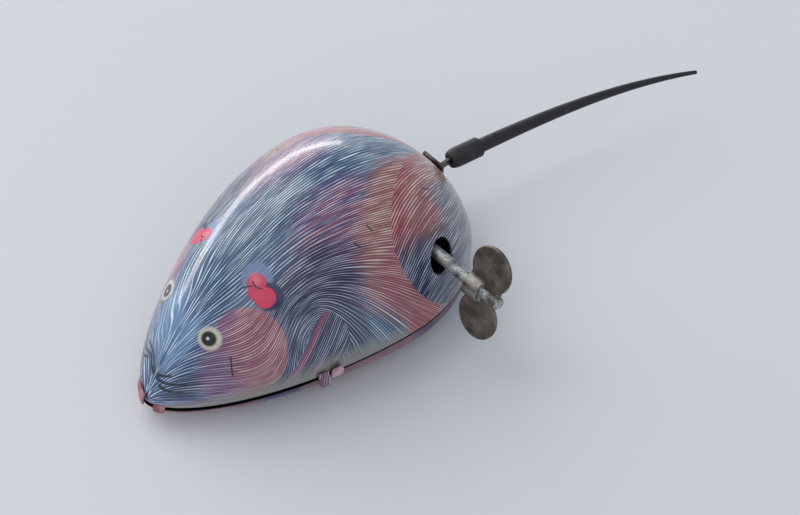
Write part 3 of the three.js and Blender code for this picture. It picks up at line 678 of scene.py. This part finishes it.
# Each tab's middle, half its width, its low and high ends, and its root, in millimetres.
FLANK_TAB = 10.5, 1.1, -2.7, 1.2, 1.2
NOSE_TABS = {"nose_tab_wide": (-1.9, 1.9, -1.9, 1.7, 1.7), "nose_tab_short": (3.0, 1.0, -1.9, 0.1, 0.1)}
SIDES = ("left", 1), ("right", -1)


def sheet(name, faces_out, faces_in):
    """A closed thick strip between an outer and an inner grid of points, both of the same size."""
    rows, columns = faces_out.shape[:2]
    number = np.arange(rows * columns).reshape(rows, columns)
    quads = np.stack([number[:-1, :-1], number[1:, :-1], number[1:, 1:], number[:-1, 1:]], -1).reshape(-1, 4)
    edge = np.concatenate([number[0, :-1], number[:-1, -1], number[-1, :0:-1], number[:0:-1, 0]])
    after = np.roll(edge, -1)
    under = number.size
    rim = np.stack([edge, after, after + under, edge + under], -1)
    points = np.vstack([faces_out.reshape(-1, 3), faces_in.reshape(-1, 3)])
    return solid_mesh(name, points, quads.tolist() + (quads[:, ::-1] + under).tolist() + rim.tolist())


def edge_x(y, inset):
    """Plan outline ahead of the widest place, as x for a given y: the inverse of the superellipse."""
    across = np.clip(np.abs(y) / (HALF_WIDTH - inset), 0, 1)
    p, q = PLAN[1]
    return WIDEST_X + (NOSE - inset - WIDEST_X) * (1 - across ** q) ** (1 / p)


def edge_y(x, inset):
    """Half-width of the plan outline at x."""
    return (HALF_WIDTH - inset) * share(x, WIDEST_X, inset, PLAN)


def tab(name, middle, half, low, high, root, side=0):
    """A bent strip: half its width either way of its middle, from low to high above the seam.

    Its root, at the height root, sinks into the shell. Its corners are rounded, and its face swells a little.
    side is 0 at the nose, where the width runs along Y, or 1 or -1 on the left or right flank.
    """
    s, t = np.meshgrid(np.linspace(-1, 1, 25), np.linspace(0, 1, 21))
    free = t if root < (low + high) / 2 else 1 - t
    offset = middle + s * half * (1 - 0.22 * ramp(free, 0.7, 1) ** 2)
    height = low + (high - low) * t
    height = height + (height - root) * -0.1 * np.abs(s) ** 5 * free
    sunk = ramp(free, 0.28, 0.0)
    rim = np.maximum(ramp(np.abs(s), 0.86, 1.0), ramp(free, 0.88, 1.0))
    grids = []
    for out, depth, sign in ((TAB_OUT, 0.2 * TIN, 1), (TAB_IN, -0.6 * TIN, -1)):
        stand = out * (1 - sunk) + depth * sunk - sign * 0.12 * MM * rim
        if side == 0:
            y = offset * MM
            x = edge_x(y, 0) + stand * 0.95
        else:
            x = offset * MM
            y = side * (edge_y(x, 0) + stand)
        grids.append(np.stack([x, y, seam(x) + height * MM], -1))
    return sheet(name, *grids)


for name, side in SIDES:
    strip = tab(f"flank_tab_{name}", *FLANK_TAB, side)
    paint_fields(strip, fur_fields(points_of(strip)))
    place_piece(strip, fur_print, "litho_tin_top", "chassis", "upper_shell")


def worn_ink(name, deep, middling):
    """Two shades of ink on a tab, scratched through to pale tin in places and grimy in others."""
    ink = Finish(name)
    place = ink.place()
    cloud = ink.noise(place, 0.55, 3.0)
    drawn = ink.node("ShaderNodeVectorMath", {"operation": "MULTIPLY"}, {0: place, 1: (1.0, 4.0, 0.6)})
    scratch = ink.noise(drawn, 1.3, 4.0, 0.65)
    colour = ink.mix(deep, middling, cloud.rises(0.4, 0.62))
    colour = ink.mix(colour, (216, 196, 198), scratch.rises(0.6, 0.7) * 0.85)
    colour = ink.mix(colour, (58, 36, 46), scratch.rises(0.36, 0.28) * 0.6)
    return ink.surface(
        Base_Color=colour, Roughness=0.35 + cloud * 0.2, Normal=ink.bump(scratch, 0.05 * MM), Coat_Weight=0.2,
        Coat_Roughness=0.2,
    )


worn_pink = worn_ink("worn_pink", (140, 66, 78), (184, 122, 128))
for name, measures in NOSE_TABS.items():
    place_piece(tab(name, *measures), worn_pink, "litho_tin_top", "chassis", "upper_shell")


# ---------------------------------------------------------------- lower shell
# A shallow pressed pan, printed in mauve and violet, closes the belly. A flange on its rim goes up inside the
# upper shell. It is slotted for the driving wheels, the front roller and the motor's tabs, and its rim hangs
# lower under the head.
LIP_INSET, LIP_RISE = 1.15 * MM, 1.2 * MM
GAP_REAR, GAP_FRONT, GAP_FROM, GAP_TO = 0.35 * MM, 1.0 * MM, 2 * MM, 16 * MM
FLOOR_SHARE, CORNER = 0.8, 2.3
WALL_LOOPS, INNER_WALL_LOOPS = 22, 14
WHEEL_SLOT_Y, WHEEL_SLOT_FRONT, WHEEL_CLEAR = (10.9, 15.3), -4.0, 0.2
TAB_SLOT_Y, TAB_SLOT_HALF, TAB_SLOT_X = (6.3, 7.7), 1.8, (-22, -5)
ROLLER_SLOT_HALF, ROLLER_CLEAR = 1.7, 0.4
PAN_TAB = 7.9, 1.2, -1.3, 2.0, -1.3
tyre_low, roller_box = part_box("tyre_left")[0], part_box("front_roller")


def gap(x):
    """How far the pan's rim lies under the seam: little at the rear, more under the head."""
    return GAP_REAR + (GAP_FRONT - GAP_REAR) * ramp(x, GAP_FROM, GAP_TO)


def pan_wall(inset, count, floor):
    """Loops from the rim, round the soft lower corner, to the edge of the flat floor."""
    turn = (np.pi / 2 * np.linspace(0, 1, count))[:, None]
    scale = 1 - (1 - FLOOR_SHARE) * (1 - np.cos(turn) ** (2 / CORNER))
    x, y = outline(turns(AROUND), inset)
    rim = seam(x) - gap(x)
    z = floor + (rim - floor) * (1 - np.sin(turn) ** (2 / CORNER))
    return np.stack([WIDEST_X + scale * (x - WIDEST_X), scale * y, z], -1)


def rim_loop(inset, rise=None):
    """One loop round the outline at a height over the seam, or at the pan's own rim if no rise is given."""
    x, y = outline(turns(AROUND), inset)
    return np.stack([x, y, seam(x) + (-gap(x) if rise is None else rise)], -1)[None]


def floor_rows(edge):
    """Loops that shrink from the floor's edge to its middle."""
    shrink = np.array([0.75, 0.5, 0.25])[:, None, None]
    middle = np.array([WIDEST_X, 0, edge[0, 2]])
    return middle + shrink * (edge - middle)


def brick(name, low, high):
    """A plain box between two corners, in millimetres."""
    ends = list(zip(low, high))
    corners = np.array([[x, y, z] for x in ends[0] for y in ends[1] for z in ends[2]])
    faces = [(0, 1, 3, 2), (4, 6, 7, 5), (0, 4, 5, 1), (2, 3, 7, 6), (0, 2, 6, 4), (1, 5, 7, 3)]
    return solid_mesh(name, corners * MM, faces)


outside, inside = pan_wall(0, WALL_LOOPS, 0), pan_wall(LIP_INSET + TIN, INNER_WALL_LOOPS, TIN)
pan = skin(
    "lower_shell_printed",
    np.concatenate([
        floor_rows(inside[-1])[::-1], inside[::-1], rim_loop(LIP_INSET + TIN, LIP_RISE),
        rim_loop(LIP_INSET, LIP_RISE), rim_loop(LIP_INSET), outside, floor_rows(outside[-1]),
    ]),
    [WIDEST_X, 0, TIN],
    [WIDEST_X, 0, 0],
)
slots = []
for side in (-1, 1):
    near, far = sorted(side * y for y in WHEEL_SLOT_Y)
    rear = tyre_low.x / MM - WHEEL_CLEAR
    slots.append(brick("wheel_slot", (rear, near, -1), (WHEEL_SLOT_FRONT, far, 3)))
    near, far = sorted(side * y for y in TAB_SLOT_Y)
    for x in TAB_SLOT_X:
        slots.append(brick("tab_slot", (x - TAB_SLOT_HALF, near, -1), (x + TAB_SLOT_HALF, far, 1)))
rear, front = roller_box[0].x / MM - ROLLER_CLEAR, roller_box[1].x / MM + ROLLER_CLEAR
slots.append(brick("roller_slot", (rear, -ROLLER_SLOT_HALF, -1), (front, ROLLER_SLOT_HALF, 1)))
sharpened(combined(pan, "DIFFERENCE", slots), 38)


def pan_print():
    """Mauve ink with fine pale lines, deepening to violet behind, painted shade in black inside the seam,
    scuffed below.
    """
    tin = Finish("pan_print")
    place = tin.place()
    x, y, z = tin.axes(place)
    cloud = tin.noise(place, 0.12, 2.0)
    x_here = x + (cloud - 0.5) * 8
    sway = tin.noise(place, 0.22, 1.5)
    lane = z * 1.5 + y.size() * 0.9 + x * 0.16 + sway * 2.4
    off_centre = (lane.fraction() - 0.5).size() * 2
    line = 1 - (off_centre - sway.rises(0.35, 0.65) * 0.5).rises(-0.2, 0.2)
    ink, pale = (126, 84, 98), (168, 134, 144)
    for mask, dark, light in (
        (x_here.rises(24, 30), (150, 106, 120), (192, 160, 168)),
        (x_here.rises(12.5, 14.5) * x_here.rises(22, 20), (52, 64, 104), (110, 124, 154)),
        (x_here.rises(-6, -13), (72, 58, 92), (120, 108, 140)),
        (x_here.rises(-18, -26), (44, 50, 96), (98, 106, 146)),
    ):
        ink = tin.mix(ink, dark, mask)
        pale = tin.mix(pale, light, mask)
    colour = tin.mix(ink, pale, line * 0.7)
    scuff = tin.noise(place, 0.5, 6.0, 0.7)
    worn = scuff.rises(0.62, 0.7) * z.rises(0.9, 0.2)
    colour = tin.mix(colour, (150, 146, 140), worn * 0.7)
    # painted shade: the top of the pan's wall and its lip turn black, standing in for the shadowed gap under
    # the seam
    rim_gap = x.rises(GAP_FROM / MM, GAP_TO / MM) * ((GAP_FRONT - GAP_REAR) / MM) + GAP_REAR / MM
    over_rim = z - x * SEAM_SLOPE - SEAM_Z / MM + rim_gap
    colour = tin.mix(colour, (6, 5, 7), over_rim.rises(-0.32, -0.18))
    return tin.surface(
        Base_Color=colour, Roughness=0.34 + worn * 0.2 + cloud * 0.06,
        Normal=tin.bump(line * 0.3 + scuff * 0.5, 0.03 * MM), Coat_Weight=0.25, Coat_Roughness=0.15,
    )


place_piece(pan, pan_print(), "litho_tin_pan", "chassis", "lower_shell")
pale_ink = worn_ink("worn_pale_pink", (176, 134, 146), (208, 180, 186))
for name, side in SIDES:
    strip = tab(f"pan_tab_{name}", *PAN_TAB, side)
    place_piece(strip, pale_ink, "litho_tin_pan", "chassis", "lower_shell")


# ---------------------------------------------------------------- wheels, tyres and axles
# Pressed steel wheels with black rubber tyres stand on the ends of the driving axle.
# A small steel roller turns on a headed pin between two lugs bent up from the pan's floor.
AXLE_R, AXLE_END, AXLE_ROUND = 1.0, 15.6, 0.3
WHEEL_Y, TREAD_R, TREAD_HALF, GROOVE = 13.1, 6.86, 1.05, 0.12
HUB_HALF = [[1.1, 1.4], [2.2, 1.4], [2.2, 0.6], [4.6, 0.6], [4.6, 1.2], [5.4, 1.2]]
TYRE_HALF = [[5.5, 1.3], [6.2, 1.48], [6.6, 1.4], [6.85, 1.2]]
ROLLER_HALF = [[0.75, 1.2], [3.9, 1.2], [4.2, 0.9]]
PIN_R, PIN_HEAD_R, PIN_HEAD = 0.6, 1.1, 0.5


def mirrored(half, middle=0.0):
    """A profile and its mirror image, from (radius, distance from the middle along Y) points of one half."""
    half = np.asarray(half, float)
    return np.vstack([half * [1, -1] + [0, middle], half[::-1] + [0, middle]])


def softened(corners, round_off, steps=3):
    """A profile with each corner rounded into steps points, on a parabola between its two neighbours."""
    corners = np.asarray(corners, float)
    starts_and_ends = []
    for neighbour in (np.roll(corners, 1, 0), np.roll(corners, -1, 0)):
        arm = neighbour - corners
        taken = np.minimum(round_off / np.maximum(np.linalg.norm(arm, axis=1), 1e-9), 0.45)
        starts_and_ends.append(corners + arm * taken[:, None])
    start, end = starts_and_ends
    t = np.linspace(0, 1, steps)[None, :, None]
    curve = (1 - t) ** 2 * start[:, None] + 2 * t * (1 - t) * corners[:, None] + t * t * end[:, None]
    return curve.reshape(-1, 2)


def turned(name, profile, x, z, sides=72):
    """A ring or rod turned about the line along Y through x and z, from (radius, y) points in millimetres.

    A profile that starts and ends on the axis makes a rod. Any other is a closed loop, and makes a ring.
    """
    profile = np.asarray(profile, float) * MM
    turn = turns(sides)
    rod = profile[0, 0] < 1e-9
    walls = profile[1:-1] if rod else profile
    radius, height = walls[:, :1], np.repeat(walls[:, 1:], sides, 1)
    rows = np.stack([x + radius * np.cos(turn), height, z + radius * np.sin(turn)], -1)
    poles = ([x, profile[0, 1], z], [x, profile[-1, 1], z]) if rod else (None, None)
    return sharpened(skin(name, rows, *poles), 50)


def rod_profile(radius, start, end, round_off):
    """A round bar with softened ends."""
    corners = softened([[0, start], [radius, start], [radius, end], [0, end]], round_off)
    return np.vstack([[0, start], corners[3:-3], [0, end]])


def metal(name, colour, dark, roughness, grain=2.2, depth=0.03, fleck=0.5):
    """Bare or plated metal: clouded, with dark flecks in it and a fine scuffed grain."""
    finish = Finish(name)
    place = finish.place()
    cloud = finish.noise(place, 0.35, 3.0)
    pitted = finish.noise(place, grain, 4.0, 0.7)
    tint = finish.mix(dark, colour, cloud.rises(0.3, 0.6))
    tint = finish.mix(tint, dark, pitted.rises(0.5, 0.62) * fleck)
    return finish.surface(
        Base_Color=tint, Metallic=0.92 - pitted.rises(0.55, 0.7) * 0.4 * fleck,
        Roughness=roughness + (pitted - 0.5) * 0.25, Normal=finish.bump(pitted, depth * MM),
    )


def rubber(name, colour, dusty):
    """Matt black rubber with clouds and specks of dust on it."""
    finish = Finish(name)
    place = finish.place()
    cloud = finish.noise(place, 0.4, 4.0, 0.6)
    fine = finish.noise(place, 5.0, 3.0, 0.7)
    tint = finish.mix(colour, dusty, cloud.rises(0.5, 0.75) * 0.5 + fine.rises(0.6, 0.8) * 0.3)
    return finish.surface(Base_Color=tint, Roughness=0.5 + cloud * 0.2, Normal=finish.bump(fine, 0.025 * MM))


bright = metal("bright_steel", (186, 188, 190), (96, 96, 98), 0.3)
plated = metal("plated_steel", (170, 172, 172), (104, 104, 104), 0.36)
black_rubber = rubber("black_rubber", (24, 25, 27), (60, 58, 56))
drive_x, drive_z = joints["drive_spin"]["pos_m"][0], joints["drive_spin"]["pos_m"][2]
for name, side in SIDES:
    middle = side * WHEEL_Y
    hub = turned(f"wheel_{name}", softened(mirrored(HUB_HALF, middle), 0.25), drive_x, drive_z)
    place_piece(hub, plated, "plated_steel", "drive_set", f"drive_wheel_{name}")
    grooves = TREAD_R + GROOVE * np.cos(np.linspace(0, 6 * np.pi, 25))
    tread = np.column_stack([grooves, middle + np.linspace(-TREAD_HALF, TREAD_HALF, 25)])
    walls = np.split(mirrored(TYRE_HALF, middle), 2)
    tyre = turned(f"tyre_{name}_moulded", np.vstack([walls[0], tread, walls[1]]), drive_x, drive_z, 120)
    place_piece(tyre, black_rubber, "black_rubber", "drive_set", f"tyre_{name}")
axle = turned("drive_axle_rod", rod_profile(AXLE_R, -AXLE_END, AXLE_END, AXLE_ROUND), drive_x, drive_z, 48)
place_piece(axle, bright, "bright_steel", "drive_set", "drive_axle")

front_x, front_z = joints["front_roller_spin"]["pos_m"][0], joints["front_roller_spin"]["pos_m"][2]
roller = turned("front_roller_turned", softened(mirrored(ROLLER_HALF), 0.2), front_x, front_z)
place_piece(roller, plated, "plated_steel", "front_wheel", "front_roller")
pin_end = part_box("front_axle")[1].y / MM
pin_half = [[PIN_HEAD_R, pin_end], [PIN_HEAD_R, pin_end - PIN_HEAD], [PIN_R, pin_end - PIN_HEAD]]
pin = np.vstack([[0, -pin_end], softened(mirrored(pin_half), 0.15), [0, pin_end]])
front_pin = turned("front_axle_pin", pin, front_x, front_z, 40)
place_piece(front_pin, bright, "bright_steel", "chassis", "front_axle")


# ---------------------------------------------------------------- key
# A galvanised steel rod goes through the keyhole to the spring, and a butterfly of dull stamped steel is its
# grip. The butterfly's middle is slit, and its strips are pressed up and down round the riveted rod.
STEM_R, NECK_R, NECK_Y, RIVET_R, RIVET_TALL = 1.3, 1.18, 35.6, 0.5, 0.7
WING_MIDDLE, WING_APART, WING_THICK, WING_TILT = 32.85, 12.1, 0.9, -0.23
LOBE_SPAN, LOBE_DEPTH, LOBE_EDGE = 5.2, 4.8, 0.05
BAND_HALF, BAND_RISE, BAND_THICK = 3.6, 2.1, 0.84
BANDS = (28.7, 32.2, 1), (32.4, 35.1, -1)
galvanised = metal("galvanised_steel", (196, 198, 194), (86, 88, 86), 0.42, 3.0, 0.06, 0.9)
stem_from, stem_to = (corner.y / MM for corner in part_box("key_stem"))
roll = np.linspace(0, np.pi / 2, 7)
rivet = [RIVET_R + (STEM_R - RIVET_R) * np.cos(roll), stem_to + RIVET_TALL * (np.sin(roll) - 1)]
neck = [[STEM_R, NECK_Y], [NECK_R, NECK_Y + 0.15], [NECK_R, NECK_Y + 0.4], [STEM_R, NECK_Y + 0.55]]
stem_profile = np.vstack([[[0, stem_from], [STEM_R, stem_from]], neck, np.column_stack(rivet), [0, stem_to]])
key_rod = turned("key_rod", stem_profile, KEY_X, KEY_Z, 64)
place_piece(key_rod, galvanised, "galvanised_steel", "key", "key_stem")


def wing_frame(points):
    """Stands a piece drawn as (span, depth along the rod, height) on the key's axis, tilted like the grip."""
    span, depth, height = (points[..., i] for i in range(3))
    x = KEY_X + (height * math.cos(WING_TILT) + span * math.sin(WING_TILT)) * MM
    z = KEY_Z + (span * math.cos(WING_TILT) - height * math.sin(WING_TILT)) * MM
    return np.stack([x, depth * MM, z], -1)


def lobe_rows(centre):
    """A flat oval disc with rounded edges, as loops from the middle of one face to that of the other."""
    turn = turns(96)
    roll = np.linspace(0, np.pi, 13)[:, None]
    flat = np.array([0.3, 0.6, 0.9])[:, None]
    size = np.concatenate([flat, 1 - LOBE_EDGE + LOBE_EDGE * np.sin(roll), flat[::-1]])
    bulge = np.sign(np.cos(roll)) * np.abs(np.cos(roll)) ** 0.7
    height = np.concatenate([flat * 0 + 1, bulge, flat * 0 - 1])
    span = centre + LOBE_SPAN * size * np.cos(turn)
    depth = WING_MIDDLE + LOBE_DEPTH * size * np.sin(turn)
    return np.stack([span, depth, height * WING_THICK / 2 + np.zeros_like(span)], -1)


def band_rows(depth_from, depth_to, sign):
    """A strip of the grip that arches over the rod, as loops round its edge: flat feet and a raised crown."""
    span = np.linspace(-BAND_HALF, BAND_HALF, 49)[:, None]
    crown = sign * BAND_RISE * (1 - ramp(np.abs(span), 1.0, 3.0))
    half = BAND_THICK / 2
    corners = softened([[depth_from, half], [depth_to, half], [depth_to, -half], [depth_from, -half]], 0.16)
    depth, thick = corners.T
    return np.stack([span + 0 * depth, depth + 0 * span, crown + thick], -1)


wing_parts = []
for centre in (-WING_APART / 2, WING_APART / 2):
    faces = wing_frame(np.array([[centre, WING_MIDDLE, sign * WING_THICK / 2] for sign in (1, -1)]))
    wing_parts.append(skin("key_lobe", wing_frame(lobe_rows(centre)), *faces))
for start, end, sign in BANDS:
    rows = wing_frame(band_rows(start, end, sign))
    wing_parts.append(skin("key_band", rows, rows[0].mean(0), rows[-1].mean(0)))
wing = sharpened(combined(wing_parts[0], "UNION", wing_parts[1:]), 40)
wing.name = "key_butterfly"


def wing_metal():
    """Dull brown-grey oxidised steel, clouded and pitted, and bright on the crown of the raised strip."""
    finish = Finish("oxidised_wing")
    place = finish.place()
    x, y, z = finish.axes(place)
    cloud = finish.noise(place, 0.3, 4.0, 0.6)
    pitted = finish.noise(place, 2.4, 5.0, 0.7)
    tint = finish.mix((92, 86, 78), (134, 126, 114), cloud.rises(0.35, 0.65))
    tint = finish.mix(tint, (60, 57, 54), pitted.rises(0.52, 0.66) * 0.6)
    across = (z - KEY_Z / MM) ** 2 + (x - KEY_X / MM) ** 2
    crown = across.rises(7.5, 4.5) * y.rises(32.6, 32.2)
    tint = finish.mix(tint, (212, 214, 206), crown * (1 - pitted.rises(0.5, 0.6) * 0.5))
    return finish.surface(
        Base_Color=tint, Metallic=0.75, Roughness=0.46 + (pitted - 0.5) * 0.35,
        Normal=finish.bump(pitted, 0.06 * MM),
    )


place_piece(wing, wing_metal(), "dull_steel", "key", "key_wing")


# ---------------------------------------------------------------- tail bracket
# A strip of dull steel goes through a slot under the tail and is clinched inside. Its tongue holds the tail.
BRACKET_STRIPS = (
    ((-39.9, -5.2, 9.9), (-39.2, 0.6, 13.8)),  # outside the shell
    ((-39.9, -5.2, 9.9), (-36.4, 0.6, 10.7)),  # through the slot
    ((-36.9, -5.2, 9.9), (-36.2, 0.6, 13.1)),  # clinched inside
    ((-46.2, -0.65, 12.2), (-39.7, 0.05, 13.8)),  # tongue
)
bracket_steel = metal("bracket_steel", (110, 106, 102), (58, 56, 54), 0.45, 2.6, 0.04)


def bent_plate(name, low, high, round_off=0.14):
    """A plate between two corners in millimetres, with its edges rolled over by a bevel."""
    piece = brick(name, low, high)
    roll = piece.modifiers.new("roll", "BEVEL")
    roll.width = round_off * MM
    roll.segments = 3
    return baked(piece)


strips = [bent_plate("bracket_strip", low, high) for low, high in BRACKET_STRIPS]
bracket = combined(strips[0], "UNION", strips[1:])
bracket.name = "tail_bracket_bent"
bracket.data.polygons.foreach_set("use_smooth", np.ones(len(bracket.data.polygons), bool))
sharpened(bracket, 40)
place_piece(bracket, bracket_steel, "dull_steel", "chassis", "tail_bracket")


# ---------------------------------------------------------------- tail
# A moulded black rubber tail, a long thin cone with a domed collar, is pushed over the bracket's tongue.
TAIL_PATH = np.array([[-42.2, -0.3, 13], [-62, 3, 13], [-84, 6.6, 12.6], [-103, 15, 10.2]])
COLLAR_R, COLLAR, ROOT_R, TIP_R, TAPER = 2.15, 7.6, 1.5, 0.42, 1.3
SOCKET_R, SOCKET_DEPTH = 0.94, 5.0
SOCKET_PROFILE = np.array([[1, 0.5], [1, 0.95], [0.98, 1], [0.5, 1], [0.02, 1], [0, 1.07]])
NIB, NIB_PAST, MOULD_LINE = 0.7, 3.6, 0.05


def tail_middle():
    """Distances along the tail and its middle there, on a cubic curve p(t) = sum of b_i(t) P_i."""
    t = np.linspace(0, 1, 1200)[:, None]
    weights = np.hstack([(1 - t) ** 3, 3 * t * (1 - t) ** 2, 3 * t * t * (1 - t), t ** 3])
    path = weights @ TAIL_PATH
    gone = np.concatenate([[0], np.cumsum(np.linalg.norm(np.diff(path, axis=0), axis=1))])
    length = gone[-1]
    tip = np.sin(np.linspace(0, 0.49 * np.pi, 8))
    along = np.concatenate([
        np.linspace(0, 2.4, 20),
        np.linspace(2.6, COLLAR - 0.5, 12),
        np.linspace(COLLAR - 0.4, COLLAR + 0.6, 14),
        np.linspace(COLLAR + 0.9, length - 0.5, 150),
        length - TIP_R + TIP_R * tip,
    ])
    return along, np.stack([np.interp(along, gone, path[:, i]) for i in range(3)], -1), length


def tail_radius(along, length):
    """The collar, rounded at its mouth, then the cone, which thins to a domed tip."""
    bulge = np.minimum(along / 2.2, 1)
    collar = COLLAR_R * (0.7 + 0.3 * np.sqrt(1 - (1 - bulge) ** 2))
    cone_share = np.clip((along - COLLAR) / (length - COLLAR), 0, 1) ** TAPER
    cone = ROOT_R + (TIP_R - ROOT_R) * cone_share
    radius = collar + (cone - collar) * ramp(along, COLLAR - 0.3, COLLAR + 0.35)
    past = np.maximum(along - (length - TIP_R), 0) / TIP_R
    return radius * np.sqrt(np.clip(1 - past ** 2, 0.002, 1))


def tail_rows():
    """Rings of points from the bottom of the socket to the tip, and the points that close them at either end.

    The socket is straight and round, runs in from the collar's end and clears the tongue. The tail has a
    small nib past the collar, and a fine line along either side where the mould's halves met.
    """
    along, centre, length = tail_middle()
    ahead = np.gradient(centre, along, axis=0)
    ahead /= np.linalg.norm(ahead, axis=1, keepdims=True)
    across = np.cross([0, 0, 1], ahead)
    across /= np.linalg.norm(across, axis=1, keepdims=True)
    up = np.cross(ahead, across)
    turn = turns(48)
    radius = tail_radius(along, length)[:, None]
    past_collar = (along[:, None] - COLLAR - NIB_PAST) / 0.45
    nib = NIB * np.exp(-past_collar ** 2) * np.exp(-((turn - np.pi / 2) / 0.35) ** 2)
    line = MOULD_LINE * np.exp(-(np.sin(turn) / 0.06) ** 2) * radius / ROOT_R
    round_it = np.cos(turn)[:, None] * across[:, None] + np.sin(turn)[:, None] * up[:, None]
    rings = centre[:, None] + (radius + nib + line)[..., None] * round_it
    into, bore = SOCKET_PROFILE[:, :1] * SOCKET_DEPTH, SOCKET_PROFILE[:, 1:] * SOCKET_R
    socket = TAIL_PATH[0] + np.stack([-into + 0 * turn, -bore * np.cos(turn), bore * np.sin(turn)], -1)
    bottom = TAIL_PATH[0] - [SOCKET_DEPTH, 0, 0]
    return np.concatenate([socket, rings]) * MM, bottom * MM, (centre[-1] + 0.01 * ahead[-1]) * MM


tail_rubber = rubber("tail_rubber", (30, 31, 35), (66, 64, 66))
tail = sharpened(skin("tail_moulded", *tail_rows()), 60)
place_piece(tail, tail_rubber, "black_rubber", "tail_sleeve", "tail")


# ---------------------------------------------------------------- motor
# The wind-up motor inside: pressed steel plates and pillars, brass wheels, a blued spring and bright arbors.
brass = metal("brass", (198, 164, 92), (132, 98, 52), 0.34)
blued_spring = metal("spring_steel", (92, 96, 108), (52, 54, 66), 0.32)
finishes = {
    "motor_plate_left": plated, "motor_plate_right": plated, "pillar_rear": plated, "pillar_top": plated,
    "pillar_front": plated, "spring_arbor": bright, "ratchet_wheel": bright, "mainspring": blued_spring,
    "great_wheel": brass, "click_pawl": bright, "click_stud": bright, "click_spring": blued_spring,
    "second_arbor": bright, "second_pinion": brass, "second_wheel": brass, "drive_pinion": brass,
    "star_arbor": bright, "star_pinion": brass, "star_wheel": brass, "pallet_arbor": bright, "pallet": bright,
}
for name, finish in finishes.items():
    materials = frame["nodes"][name].data.materials
    materials.clear()
    materials.append(finish)


# ---------------------------------------------------------------- floor and light
# A plain pale sheet. A low wide window and a soft light above it are on the mouse's right, and a weak fill is
# ahead on its left.
FLOOR_REACH = 6.0
GROUND = tyre_low.z
floor_mesh = bpy.data.meshes.new("floor")
floor_corners = [(x * FLOOR_REACH, y * FLOOR_REACH, GROUND) for x, y in ((-1, -1), (1, -1), (1, 1), (-1, 1))]
floor_mesh.from_pydata(floor_corners, [], [(0, 1, 2, 3)])
floor = bpy.data.objects.new("floor", floor_mesh)
bpy.context.scene.collection.objects.link(floor)
paper = Finish("paper")
floor_mesh.materials.append(paper.surface(Base_Color=(226, 228, 232), Roughness=0.9))

world = bpy.data.worlds.new("room")
world.use_nodes = True
world.node_tree.nodes["Background"].inputs["Color"].default_value = (0.78, 0.84, 0.92, 1)
world.node_tree.nodes["Background"].inputs["Strength"].default_value = 0.5
bpy.context.scene.world = world
bpy.context.scene.view_settings.view_transform = "Standard"


def lamp(name, place, width, height, power, colour):
    """A soft rectangular lamp of that size in metres, turned to the mouse."""
    light = bpy.data.lights.new(name, "AREA")
    light.shape = "RECTANGLE"
    light.size = width
    light.size_y = height
    light.energy = power
    light.color = colour
    holder = bpy.data.objects.new(name, light)
    bpy.context.scene.collection.objects.link(holder)
    holder.location = place
    holder.rotation_mode = "QUATERNION"
    holder.rotation_quaternion = (-Vector(place)).to_track_quat("-Z", "Y")


lamp("low_window", (-0.2, -1.45, 0.12), 2.4, 0.2, 14.0, (1.0, 0.99, 0.97))
lamp("sky", (0.1, -0.7, 0.95), 1.2, 1.2, 6.7, (1.0, 0.98, 0.96))
lamp("fill", (0.7, 0.7, 0.9), 1.2, 1.2, 3.0, (0.97, 0.98, 1.0))
